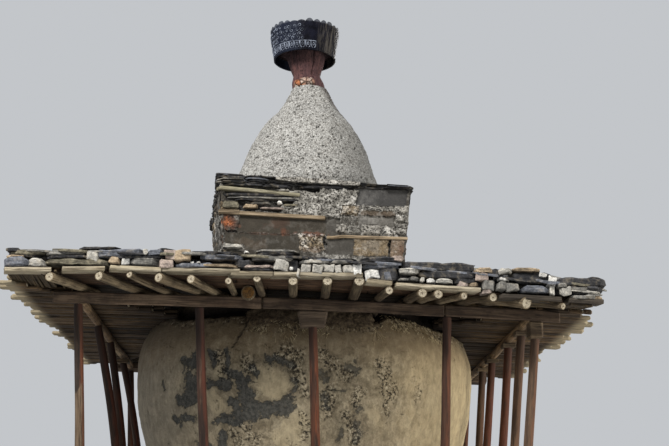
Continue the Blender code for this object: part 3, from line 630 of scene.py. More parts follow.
relief = plus(times(cleaving, 0.6), times(blots, 0.3))
tree.links.new(plus(relief, times(grit, 0.12)), take["Height"])


def stone_finish(name, layers, dust, depth):
    """Split stone in the tints that its pieces carry."""
    material, tree, shader, where = new_material(name, 0.82)
    skin = laid(tree, split_stone, {"Where": where, "Tint": carried(tree, "tint", "Color"),
                                    "Layered": carried(tree, "tint", "Alpha"), "Layers": layers,
                                    "Dust": dust})
    surfaced(tree, shader, skin["Colour"], skin["Height"], depth)
    return material


field_stone = stone_finish("field_stone", 34.0, 0.45, 0.010)
COMMON_KINDS = ["grey", "grey", "olive", "tan", "grey", "pink", "blue", "olive"]
chance = random.Random(11)
courses = bmesh.new()
for turns in range(4):
    quarter = Matrix.Rotation(turns * pi / 2, 4, 'Z')
    for course in range(4):
        x = -PLINTH_HALF + 0.01
        while x < PLINTH_HALF - 0.05:
            wide = min(chance.uniform(0.16, 0.42), PLINTH_HALF - 0.01 - x)
            if PLINTH_HALF - 0.01 - x - wide < 0.10:
                wide = PLINTH_HALF - 0.01 - x
            deep = chance.uniform(0.16, 0.24)
            middle = (x + wide / 2, -PLINTH_HALF + deep / 2 + chance.uniform(0.0, 0.02),
                      0.004 + COURSE_HEIGHT * (course + 0.5))
            part = stone(middle, (wide * 0.97, deep, COURSE_HEIGHT * 0.96), chance.choice(COMMON_KINDS),
                         chance.uniform(0, 90), rough=0.05)
            move(part, quarter)
            add_part(courses, part)
            x += wide
core = cube()
bmesh.ops.scale(core, vec=(2 * PLINTH_HALF - 0.12, 2 * PLINTH_HALF - 0.12, 0.318), verts=core.verts)
bmesh.ops.translate(core, vec=(0, 0, 0.159), verts=core.verts)
tinted(core, "olive", 3.0)
add_part(courses, core)
for vert in courses.verts:
    vert.co.z = max(0.0, vert.co.z)
piece("plinth_courses", courses, [field_stone], ["plinth"])
flags = bmesh.new()
chance = random.Random(12)
for i in range(15):
    for j in range(15):
        x = -PLINTH_HALF + 0.17 + i * FLAG_SPACING
        y = -PLINTH_HALF + 0.17 + j * FLAG_SPACING
        if max(abs(x), abs(y)) < 1.55:
            continue
        x += chance.uniform(-0.03, 0.03) if abs(x) < 2.2 else 0
        y += chance.uniform(-0.03, 0.03) if abs(y) < 2.2 else 0
        part = stone((x, y, FLAG_MIDDLE), (chance.uniform(0.27, 0.31), chance.uniform(0.27, 0.31), 0.028),
                     chance.choice(COMMON_KINDS), chance.uniform(0, 90), rough=0.07,
                     turn=chance.uniform(-0.08, 0.08))
        add_part(flags, part)
piece("plinth_flags", flags, [field_stone])

# Posts
# Seventeen round poles, peeled and painted red, stand on the plinth and carry the canopy. They are
# slightly bent, the side rows lean outward, and the paint has worn to the wood in places.
BEAM_UNDERSIDE = 4.04
BEAM_LINE = 2.30
EAVE_LINE = 2.91
FALL_LEFT = 0.022
FALL_RIGHT = 0.040
SAG_RIGHTWARD = 0.060
SAG_INWARD = 0.210


def settlement(x, y):
    """How far the canopy has sunk at a plan point: the frame's fall and the front eave's sag."""
    fall = x * (FALL_LEFT if x < 0 else FALL_RIGHT)
    return -fall - max(0.0, SAG_RIGHTWARD * (x - 0.40) - SAG_INWARD * (y + EAVE_LINE))


def log(start, middle, end, radius, tip, seed, bend=0.5, sides=12, cuts=10, rough=0.05, crook=0.0):
    """A round pole swept through three points; its points keep their own coordinates as grain."""
    start, middle, end = Vector(start), Vector(middle), Vector(end)
    bm = bmesh.new()
    bmesh.ops.create_cone(bm, cap_ends=True, cap_tris=False, segments=sides, radius1=radius, radius2=tip,
                          depth=1.0)
    divide(bm, edges_along(bm, 2), cuts)
    ends = [face for face in bm.faces if len(face.verts) == sides]
    bmesh.ops.inset_individual(bm, faces=ends, thickness=radius * 0.16, depth=0.0)
    for face in [face for face in bm.faces if len(face.verts) == sides]:
        face.material_index = 1
        for vert in face.verts:
            vert.co.z += 0.012 * radius * (1 if vert.co.z > 0 else -1)
    length = (middle - start).length + (end - middle).length
    grain = bm.verts.layers.float_vector.new("grain")
    tone = bm.verts.layers.float.new("tone")
    for vert in bm.verts:
        vert[tone] = 0.5 + 0.6 * wobble(seed * 1.71, 4.3, 0.5)
        share = share_of(vert.co.z + 0.5)
        out = Vector((vert.co.x, vert.co.y, 0))
        vert[grain] = (out.x, out.y, share * length + seed * 5.7)
        knot = wobble(out.x * 14, out.y * 14, share * length * 1.6 + seed * 9.1)
        out *= 1 + rough * knot
        weights = ((share - bend) * (share - 1) / bend, share * (share - 1) / (bend * (bend - 1)),
                   share * (share - bend) / (1 - bend))
        slopes = ((2 * share - bend - 1) / bend, (2 * share - 1) / (bend * (bend - 1)),
                  (2 * share - bend) / (1 - bend))
        centre = sum((w * p for w, p in zip(weights, (start, middle, end))), Vector((0, 0, 0)))
        heading = sum((w * p for w, p in zip(slopes, (start, middle, end))), Vector((0, 0, 0)))
        sway = Vector((wobble(seed * 3.3, share * length * 0.9, 2.0),
                       wobble(seed * 5.1, share * length * 0.9, 8.0), 0))
        out += sway * crook * sin(pi * share)
        vert.co = centre + Vector((0, 0, 1)).rotation_difference(heading).to_matrix() @ out
    return bm


timber_grain, give, take = new_group(
    "timber_grain", {"Grain": (0, 0, 0), "Pale": linear(160, 135, 100), "Brown": linear(110, 85, 60),
                     "Dark": linear(55, 42, 32)}, "Height", "Fibres")
tree = timber_grain
bands = mottled(stretched(give["Grain"], (14, 14, 1.3)), 1.0, 5.0, 0.6, 0.3)
fibres = mottled(stretched(give["Grain"], (90, 90, 4.0)), 1.0, 5.0, 0.7)
checks = mottled(stretched(give["Grain"], (34, 34, 0.8)), 1.0, 3.0, 0.5, 0.2)
coat = blended(ranged(bands, 0.34, 0.66), give["Brown"], give["Pale"])
coat = blended(ranged(fibres, 0.58, 0.36, 0.0, 0.65), coat, give["Dark"])
split = ranged(worked('ABSOLUTE', minus(checks, 0.5)), 0.016, 0.004)
coat = blended(times(split, 0.85), coat, give["Dark"])
tree.links.new(coat, take["Colour"])
tree.links.new(fibres, take["Fibres"])
relief = plus(times(bands, 0.3), times(fibres, 0.4))
tree.links.new(minus(relief, times(split, 0.5)), take["Height"])


def timber_finish(name, pale, brown, dark, soiled=0.55, uneven=0.4, tips=0.0):
    """Weathered bare wood, each piece lighter or darker by the tone that it carries; with tips, pale ends out
    at the eaves, and painted shade that darkens the wood farther in under the roof.
    """
    material, tree, shader, where = new_material(name, 0.88)
    grain = carried(tree, "grain")
    skin = laid(tree, timber_grain, {"Grain": grain, "Pale": pale, "Brown": brown, "Dark": dark})
    shade = ranged(carried(tree, "tone", "Fac"), 0.0, 1.0, 1 - uneven, 1 + uneven)
    coat = shaded(skin["Colour"], shade)
    dirt = ranged(mottled(where, 5.0, 5.0, 0.65), 0.42, 0.66, 0.0, soiled)
    coat = over(coat, dirt, *dark)
    if tips:
        across = worked('ABSOLUTE', axes(where)[0])
        coat = over(coat, ranged(across, 2.80, 2.96, 0.0, tips), 166, 154, 128)
        # Painted shade: the wood darkens farther in under the roof.
        coat = over(coat, ranged(across, 2.25, 1.60, 0.0, 0.60), *dark)
    surfaced(tree, shader, coat, skin["Height"], 0.008)
    return material


end_grain, tree, shader, where = new_material("log_ends", 0.90)
grain = carried(tree, "grain")
flat = put(tree, "ShaderNodeVectorMath", {0: grain, 1: (1, 1, 0)}, operation='MULTIPLY').outputs[0]
reach = put(tree, "ShaderNodeVectorMath", {0: flat}, operation='LENGTH').outputs["Value"]
uneven = mottled(stretched(grain, (30, 30, 1)), 1.0, 3.0)
rings = worked('SINE', plus(times(reach, 900.0), times(uneven, 5.0)))
coat = blended(ranged(rings, -1.0, 1.0, 0.0, 0.45), linear(186, 176, 154), linear(134, 120, 98))
heart = plus(reach, times(uneven, 0.03))
coat = over(coat, ranged(heart, 0.030, 0.018, 0.0, 0.85), 66, 50, 38)
spots = mottled(stretched(grain, (95, 95, 3)), 1.0, 5.0, 0.7)
coat = over(coat, ranged(spots, 0.50, 0.60, 0.0, 0.75), 84, 70, 54)
coat = over(coat, ranged(spots, 0.44, 0.36, 0.0, 0.60), 214, 207, 190)
surfaced(tree, shader, coat, rings, 0.001)


def painted_pole(name, deep, bright, edge, bare_height):
    """Red-brown paint with a brighter stripe down its right side as painted light and painted shade towards
    its head, worn to the wood along the grain and bare low down.
    """
    material, tree, shader, where = new_material(name, 0.80)
    grain = carried(tree, "grain")
    skin = laid(tree, timber_grain, {"Grain": grain, "Pale": (98, 80, 64), "Brown": (70, 55, 44),
                                     "Dark": (30, 23, 19)})
    streaks = mottled(stretched(grain, (20, 20, 2.2)), 1.0, 5.0, 0.6)
    coat = blended(ranged(streaks, 0.38, 0.62), linear(*deep), linear(*bright))
    across = axes(grain)[0]
    across = plus(across, times(streaks, 0.10))
    # Painted light: a brighter stripe of the edge colour runs down the pole's right side, as if lit from the
    # right.
    coat = over(coat, ranged(across, 0.050, 0.072, 0.0, 0.85), *edge)
    worn = mottled(stretched(grain, (26, 26, 3.0)), 1.0, 7.0, 0.72)
    coat = blended(ranged(worn, 0.54, 0.62, 0.0, 0.65), coat, skin["Colour"])
    coat = over(coat, ranged(skin["Fibres"], 0.50, 0.34, 0.0, 0.55), 30, 21, 17)
    height = axes(where)[2]
    # Painted shade: the pole darkens towards its head under the canopy.
    under_roof_shade = plus(height, times(streaks, 0.7))
    coat = over(coat, ranged(under_roof_shade, 3.75, 4.30, 0.0, 0.65), 38, 28, 23)
    height = plus(height, times(mottled(stretched(grain, (16, 16, 5)), 1.0), 0.5))
    bare = ranged(height, bare_height + 0.27, bare_height + 0.21, 0.0, 0.95)
    bare = times(bare, ranged(across, 0.088, 0.074, 0.25, 1.0))
    dry = blended(ranged(skin["Fibres"], 0.35, 0.65), linear(62, 48, 36), linear(116, 98, 79))
    coat = blended(bare, coat, dry)
    surfaced(tree, shader, coat, skin["Height"], 0.006)
    return material


# Each paint: deep and bright tones, the painted-light colour of its right-hand stripe, and how high the bare
# wood reaches.
paints = {kind: painted_pole(f"{kind}_post_paint", deep, bright, edge, bare_height)
          for kind, deep, bright, edge, bare_height in (
              ("corner", (40, 33, 28), (58, 46, 38), (104, 60, 40), 3.24),
              ("red", (50, 34, 26), (73, 47, 34), (95, 58, 39), 0.2),
              ("rust", (46, 30, 22), (72, 43, 29), (104, 57, 35), 0.2),
              ("brown", (80, 61, 47), (110, 84, 63), (92, 66, 49), 0.2),
              ("fresh", (76, 46, 33), (108, 64, 45), (92, 53, 37), 0.2),
              ("grey", (74, 58, 46), (100, 78, 60), (100, 68, 48), 0.2),
              ("dark", (40, 28, 22), (59, 39, 29), (79, 42, 29), 0.2))}
POST_PAINTS = {"post_front_1": "corner", "post_front_2": "dark", "post_front_3": "rust",
               "post_front_5": "grey", "post_right_1": "brown", "post_right_2": "fresh",
               "post_right_3": "fresh", "post_right_4": "brown", "post_left_1": "dark",
               "post_left_2": "dark", "post_left_3": "dark"}
bare_pole = timber_finish("bare_pole", (150, 128, 98), (108, 86, 62), (46, 36, 28))
POST_RADIUS = 0.052
POST_TIP_RADIUS = 0.044
# At the front: place in the row, the foot's shift. At the sides: place, the knee's shift inward, the foot
POST_FRONT = ((-2.30, 0.21), (-1.09, 0.21), (0.05, 0.10), (1.41, -0.13), (2.30, -0.34))
POST_LEFT = ((-0.91, 0.25, 1.93), (0.16, 0.20, 1.96), (1.46, 0.26, 1.93))
POST_RIGHT = ((-1.57, 0.12, 1.96), (-0.80, 0.11, 1.97), (0.32, 0.12, 1.94), (1.06, 0.09, 2.02))
KNEE = 2.45 / 3.69
posts = []
for row, side in (("front", -1), ("back", 1)):
    for i, (x, shift) in enumerate(POST_FRONT, start=1):
        posts.append((f"post_{row}_{i}", (x + shift, side * 2.18), (x + shift * (1 - KNEE), side * 2.26),
                      (x, side * BEAM_LINE)))
for row, side, places in (("left", -1, POST_LEFT), ("right", 1, POST_RIGHT)):
    for i, (y, lean, foot) in enumerate(places, start=1):
        posts.append((f"post_{row}_{i}", (side * foot, y), (side * (BEAM_LINE - lean), y),
                      (side * BEAM_LINE, y)))
for seed, (name, foot, knee, top) in enumerate(posts):
    low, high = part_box(name)
    span = high[2] - low[2]
    pole = log((*foot, low[2]), (*knee, low[2] + KNEE * span), (*top, high[2]), POST_RADIUS, POST_TIP_RADIUS,
               seed + 1, KNEE, 14, 34, 0.07, 0.012)
    piece(name + "_pole", pole, [paints[POST_PAINTS.get(name, "red")], end_grain], [name], 60)

# Beams, bracket and bearing blocks
# Two roughly squared timbers, each of three lengths butted over posts, lie along the front and the back.
# Thin peeled logs join them at the sides. A short bolster spreads the load over the middle post, and
# small blocks of wood make up the height of the others.


def hewn(start, end, width, thickness, seed, cuts=8, rough=0.06, soft=0.14, point=0.0):
    """A hewn timber or board between two points; its points keep their own coordinates as grain."""
    start = Vector(start)
    heading = Vector(end) - start
    length = heading.length
    bm = cube()
    bmesh.ops.translate(bm, vec=(0, 0, 0.5), verts=bm.verts)
    bmesh.ops.scale(bm, vec=(width, thickness, length), verts=bm.verts)
    chamfer(bm, bm.edges[:], min(width, thickness) * soft)
    divide(bm, [edge for edge in bm.edges if edge.calc_length() > length * 0.6], cuts)
    grain = bm.verts.layers.float_vector.new("grain")
    tone = bm.verts.layers.float.new("tone")
    axis = heading.normalized()
    across = axis.cross(Vector((0, 0, 1))).normalized()
    upright = across.cross(axis)
    for vert in bm.verts:
        x, y, z = vert.co
        vert[grain] = (x + 0.3 + seed * 0.11, y, z + seed * 5.7)
        vert[tone] = 0.5 + 0.6 * wobble(seed * 1.71, 4.3, 0.5)
        if z < 0.05 * length or z > 0.95 * length:
            z += point * x
        sway = noise.noise_vector(Vector((seed * 3.1, z * 1.7, 1.0)))
        dent = noise.noise_vector(Vector((x * 6 + seed, y * 6, z * 3.0)))
        x += width * rough * (sway.x + 0.6 * dent.x)
        y += thickness * rough * (sway.y + 0.8 * dent.y)
        vert.co = start + axis * z + across * x + upright * y
    bm.normal_update()
    for face in bm.faces:
        if abs(face.normal.dot(axis)) > 0.95:
            face.material_index = 1
    return bm


def block_in(low, high, seed, cuts, rough):
    """A hewn block that fills a box."""
    y, z = (low[1] + high[1]) / 2, (low[2] + high[2]) / 2
    return hewn((low[0], y, z), (high[0], y, z), high[1] - low[1], high[2] - low[2], seed, cuts, rough)


def settle(bm):
    """Bend a canopy piece, drawn over the beams' underside, to the sunken frame."""
    for vert in bm.verts:
        vert.co.z += BEAM_UNDERSIDE + settlement(vert.co.x, vert.co.y)
    return bm


beam_wood = timber_finish("beam_wood", (102, 86, 70), (72, 58, 46), (36, 29, 24))
pale_wood = timber_finish("pale_wood", (112, 97, 76), (82, 68, 51), (40, 32, 26))
grey_wood = timber_finish("grey_wood", (76, 69, 60), (62, 56, 49), (38, 33, 28), 0.25)
bracket_wood = timber_finish("bracket_wood", (98, 84, 70), (80, 68, 56), (46, 38, 31), 0.3)
BEAM_LENGTHS = ((-2.55, -0.465), (-0.455, 1.375), (1.385, 2.55))
LOG_REACH = 2.229
for row, side in (("front", -1), ("back", 1)):
    bm = bmesh.new()
    for seed, (left, right) in enumerate(BEAM_LENGTHS):
        length = hewn((left, side * BEAM_LINE, 0.06), (right, side * BEAM_LINE, 0.06), 0.138, 0.118,
                      seed + 20 + side, 22, 0.045, soft=0.10)
        for vert in length.verts:
            if vert.co.z < 0.06:
                vert.co.z += 0.028 * share_of((2.35 - abs(vert.co.y)) / 0.11)
        add_part(bm, length)
    piece(f"beam_{row}_lengths", settle(bm), [beam_wood, end_grain], [f"beam_{row}"])
for seed, (row, side) in enumerate((("left", -1), ("right", 1))):
    bm = log((side * BEAM_LINE, -LOG_REACH, 0.075), (side * BEAM_LINE, 0.1, 0.075),
             (side * BEAM_LINE, LOG_REACH, 0.075), 0.045, 0.045, seed + 30, 0.5, 12, 40, 0.08, 0.02)
    piece(f"beam_{row}_pole", settle(bm), [bare_pole, end_grain], [f"beam_{row}"], 60)
for seed, name in enumerate(("block_left_3", "block_right_1", "block_right_2", "block_right_3",
                             "block_right_4", "block_front_5")):
    low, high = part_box(name)
    block = block_in(low, high, seed + 40, 3, 0.05)
    piece(name + "_pad", block, [pale_wood, pale_wood], [name])
for seed, row in enumerate(("front", "back")):
    low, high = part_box(f"bracket_{row}")
    block = block_in(low, high, seed + 50, 6, 0.06)
    for vert in block.verts:
        rise = (vert.co.z - low[2]) / (high[2] - low[2])
        vert.co.x += (vert.co.x - (low[0] + high[0]) / 2) * 0.24 * (rise - 0.35)
    piece(f"bracket_{row}_bolster", block, [bracket_wood, bracket_wood], [f"bracket_{row}"])

# Rafters and eave boards
# Round poles fan out over the front and back beams, thick and thin together, their cut ends pale and
# ringed. Short boards lie along the ends and carry the slates; they have slipped apart here and there.
BEAM_HEIGHT = 0.121
BOARD_LINE = 2.855
BOARD_WIDTH = 0.15
# The poles at the front: across, height, radius, splay in degrees
FRONT_POLES = (
    (-2.49, 4.237, 0.045, 20), (-2.02, 4.249, 0.045, 26), (-1.73, 4.265, 0.034, 28),
    (-1.45, 4.239, 0.046, 30), (-1.14, 4.226, 0.042, 20), (-0.78, 4.209, 0.033, 4), (-0.505, 4.237, 0.038, 4),
    (-0.158, 4.217, 0.046, 1), (0.175, 4.22, 0.047, 0), (0.483, 4.223, 0.053, 2), (0.773, 4.131, 0.04, 6),
    (1.094, 4.11, 0.046, 8), (1.248, 4.098, 0.045, 10), (1.497, 4.082, 0.035, 17), (1.781, 4.072, 0.042, 21),
    (2.105, 4.02, 0.06, 28), (2.461, 3.989, 0.033, 33))


def eave_pole(x, z, radius, splay, side, seed):
    """A pole from the eave over the beam, to the dome or to the corner strip."""
    turn = radians(splay) * (1 if x > 0 else -1)
    reach = min(1.25, (EAVE_LINE - abs(x) + 0.15) / max(0.30, cos(turn) - abs(sin(turn))))
    stop = dome_radius(4.15) + 0.10
    for _ in range(60):
        if hypot(x - sin(turn) * reach, EAVE_LINE - cos(turn) * reach) > stop:
            break
        reach -= 0.01
    share = min(0.7, 0.58 / reach)
    over_x = x - sin(turn) * reach * share
    over_y = side * (EAVE_LINE - cos(turn) * reach * share)
    over_z = BEAM_UNDERSIDE + BEAM_HEIGHT + settlement(over_x, over_y if side < 0 else 0.0) + radius
    end = (x - sin(turn) * reach, side * (EAVE_LINE - cos(turn) * reach), over_z + 0.01)
    return log((x, side * EAVE_LINE, z), (over_x, over_y, over_z), end, radius * 1.02, radius * 0.92, seed,
               share, 14, 10, 0.07, 0.006)


pole_wood = timber_finish("pole_wood", (136, 122, 98), (100, 86, 66), (46, 38, 30))
board_wood = timber_finish("board_wood", (184, 174, 152), (148, 137, 114), (78, 68, 54), 0.35)
rough_end = timber_finish("rough_end", (150, 108, 56), (96, 76, 50), (44, 34, 25), 0.3)
bm = bmesh.new()
stub = log((-0.60, -2.45, 4.195), (-0.60, -2.25, 4.20), (-0.60, -2.02, 4.20), 0.072, 0.070, 79)
for face in stub.faces:
    face.material_index = 4 if face.material_index == 1 else 0
add_part(bm, stub)
for seed, (x, z, radius, splay) in enumerate(FRONT_POLES):
    add_part(bm, eave_pole(x, z, radius, splay, -1, seed + 60))
# Left and right end, then the underside's height at each
FRONT_BOARDS = (
    (-2.935, -2.49, 4.281, 4.282), (-2.385, -1.98, 4.29, 4.298), (-1.93, -1.44, 4.309, 4.294),
    (-1.435, -0.687, 4.294, 4.284), (-0.774, -0.368, 4.263, 4.26), (-0.362, 0.5, 4.257, 4.258),
    (0.546, 0.783, 4.203, 4.178), (0.824, 1.644, 4.167, 4.122), (1.845, 2.429, 4.063, 4.033),
    (2.505, 2.84, 4.027, 4.012))
for seed, (left, right, low, high) in enumerate(FRONT_BOARDS):
    board = hewn((left, -BOARD_LINE, low + 0.024), (right, -BOARD_LINE, high + 0.024), BOARD_WIDTH, 0.046,
                 seed + 80, 8, 0.05, point=0.25)
    # Painted shade: the boards' undersides take the grey wood; the boards at the right are grey all over.
    for face in board.faces:
        face.material_index = 2 if left < 1.7 and face.normal.z > -0.6 else 3
    add_part(bm, board)
piece("rafter_poles_front", bm, [pole_wood, end_grain, board_wood, grey_wood, rough_end],
      ["rafters_front"], 50)
bm = bmesh.new()
chance = random.Random(31)
for seed, x in enumerate((-2.50, -2.04, -1.73, -1.45, -1.14, -0.78, -0.50, -0.15, 0.18, 0.48, 0.78, 1.09,
                          1.25, 1.50, 1.78, 2.11, 2.46)):
    radius = chance.uniform(0.038, 0.05)
    z = BEAM_UNDERSIDE + 0.2203 - radius + settlement(x, 0.0)
    add_part(bm, eave_pole(x, z, radius, 35 * (x / EAVE_LINE) ** 2, 1, seed + 100))
x = -2.94
seed = 130
while x < 2.90:
    end = min(2.94, x + chance.uniform(0.45, 0.95))
    board = hewn((x, BOARD_LINE, 0.243), (end - 0.012, BOARD_LINE, 0.243), BOARD_WIDTH, 0.050, seed, 8, 0.05)
    for face in board.faces:
        face.material_index = 2
    add_part(bm, settle(board))
    x = end
    seed += 1
piece("rafter_poles_back", bm, [pole_wood, end_grain, board_wood], ["rafters_back"], 50)

# Side ceilings
# Split poles lie side by side over the side logs, from the dome to the eave, in groups with dark gaps
# between them, their ends cut at different lengths. Thinner sticks lie on them, under the slates.
ceiling_wood = timber_finish("ceiling_wood", (98, 80, 58), (62, 49, 35), (20, 16, 13), 0.45,
                             0.70, 0.7)
CEILING_HALF = 2.60
POLE_GAPS = (-2.22, -1.98, -1.62, -1.40, -1.10, -0.88, -0.50, -0.22, 0.05, 0.45, 0.72, 0.98, 1.46, 1.80, 2.10)
RIGHT_REACH = ((-2.60, -0.19), (-2.20, -0.11), (-1.90, -0.02), (-1.50, 0.13), (-1.20, 0.13), (-0.90, 0.02),
               (0.5, 0.0))
for row, side in (("left", -1), ("right", 1)):
    bm = bmesh.new()
    chance = random.Random(50 + side)
    y = -CEILING_HALF
    seed = 150
    while y < CEILING_HALF - 0.02:
        wide = min(chance.uniform(0.060, 0.135), CEILING_HALF - y)
        for gap in POLE_GAPS:
            if y < gap <= y + wide:
                add_part(bm, log((side * max(1.80, abs(y) + 0.32), y + 0.026, 0.150),
                                 (side * 2.4, y + 0.022, 0.146), (side * 2.72, y + 0.026, 0.140),
                                 0.015, 0.012, seed + 900, 0.5, 6, 5, 0.1))
                y += chance.uniform(0.050, 0.080)
        wide = min(wide, CEILING_HALF - y)
        middle = y + wide / 2
        inner = sqrt(max(0.0, 1.74 ** 2 - middle ** 2)) if abs(middle) < 1.7 else 0.0
        inner = max(inner, abs(middle) + 0.31)
        reach = 2.88 + chance.choice((0.0, 0.02, 0.05, 0.08, 0.13)) + chance.uniform(-0.01, 0.02)
        if side > 0:
            reach = min(3.08, reach + read_off(RIGHT_REACH, middle))
            reach -= 0.4 * max(0.0, reach - 2.94) if middle < -1.7 else 0.0
        else:
            reach += 0.07 * share_of((-1.2 - middle) / 0.5)
        thick = chance.uniform(0.036, 0.056)
        if reach - inner > 0.06 and wide > 0.03:
            level = BEAM_HEIGHT + thick / 2
            pole = hewn((side * inner, middle + chance.uniform(-0.012, 0.012), level),
                        (side * reach, middle, level), wide * 0.88, thick, seed, 6, 0.09, soft=0.30,
                        point=chance.uniform(-0.6, 0.6))
            add_part(bm, pole)
            reach -= chance.uniform(0.0, 0.12)
            upper = hewn((side * inner, middle, 0.197), (side * reach, middle, 0.197), wide * 0.84, 0.044,
                         seed + 1, 4, 0.08, soft=0.30)
            add_part(bm, upper)
        y += wide
        seed += 2
    piece(f"ceiling_poles_{row}", settle(bm), [ceiling_wood, end_grain], [f"ceiling_{row}"])

# Corner sticks
# Split sticks pack the canopy's corners between the eave board and the side poles; their inner ends droop
# in a row like teeth.
stick_wood = timber_finish("stick_wood", (92, 78, 56), (64, 53, 38), (28, 23, 18))
bm = bmesh.new()
chance = random.Random(61)
for across in (-1, 1):
    for side in (-1, 1):
        for i in range(24):
            x = across * ((2.92 if across < 0 else 2.74) - i * 0.021)
            if abs(abs(x) - 2.49) > 0.05:
                end = 2.34 + chance.uniform(-0.03, 0.03)
                droop = 0.168 + chance.uniform(-0.01, 0.01)
                part = hewn((x, side * 2.90, 0.204), (x + chance.uniform(-0.01, 0.02), side * end, droop),
                            0.0215, 0.020, i + 300, 3, 0.15)
                add_part(bm, part)
piece("corner_sticks", settle(bm), [stick_wood, stick_wood])

# Roof boards
# Rough boards lie left to right on the rafters and round the dome, and carry the slates.
bm = bmesh.new()
chance = random.Random(71)
BOARD_REACH = 2.88
y = -2.765
seed = 400
while y < 2.76:
    wide = min(chance.uniform(0.11, 0.17), 2.766 - y)
    middle = y + wide / 2
    runs = [(-BOARD_REACH, BOARD_REACH)]
    if abs(middle) < 1.95:
        inner = sqrt(max(0.0, (dome_radius(4.26) + 0.05) ** 2 - max(0.0, abs(middle) - wide / 2) ** 2))
        runs = [(-BOARD_REACH, -inner), (inner, BOARD_REACH)]
    for left, right in runs:
        x = left
        while x < right - 0.05:
            end = min(right, x + chance.uniform(0.9, 1.7))
            if right - end < 0.3:
                end = right
            board = hewn((x, middle, 0.248), (end - 0.008, middle, 0.248), wide * 0.95, 0.046, seed, 6, 0.05)
            if abs(middle) > 2.2:
                for face in board.faces:
                    face.material_index = 2
            add_part(bm, board)
            seed += 1
            x = end
    y += wide
# Painted shade: the boards under the canopy are near-black; the rows along the front and back eaves take a
# lighter brown.
shaded_board_wood = timber_finish("shaded_board_wood", (38, 31, 24), (26, 21, 16), (12, 10, 8))
brown_wood = timber_finish("brown_wood", (112, 88, 68), (74, 56, 43), (32, 25, 20), 0.4, 0.5)
piece("roof_boarding", settle(bm), [shaded_board_wood, shaded_board_wood, brown_wood], ["roof_boards"])

# Slates
# Split slates and field stones are stacked along the eaves and laid over the roof in overlapping rows,
# with small pale stones wedged between them. Nothing is cut to size, so the edge is ragged and full of
# dark gaps.
slate = stone_finish("split_slate", 62.0, 0.30, 0.012)
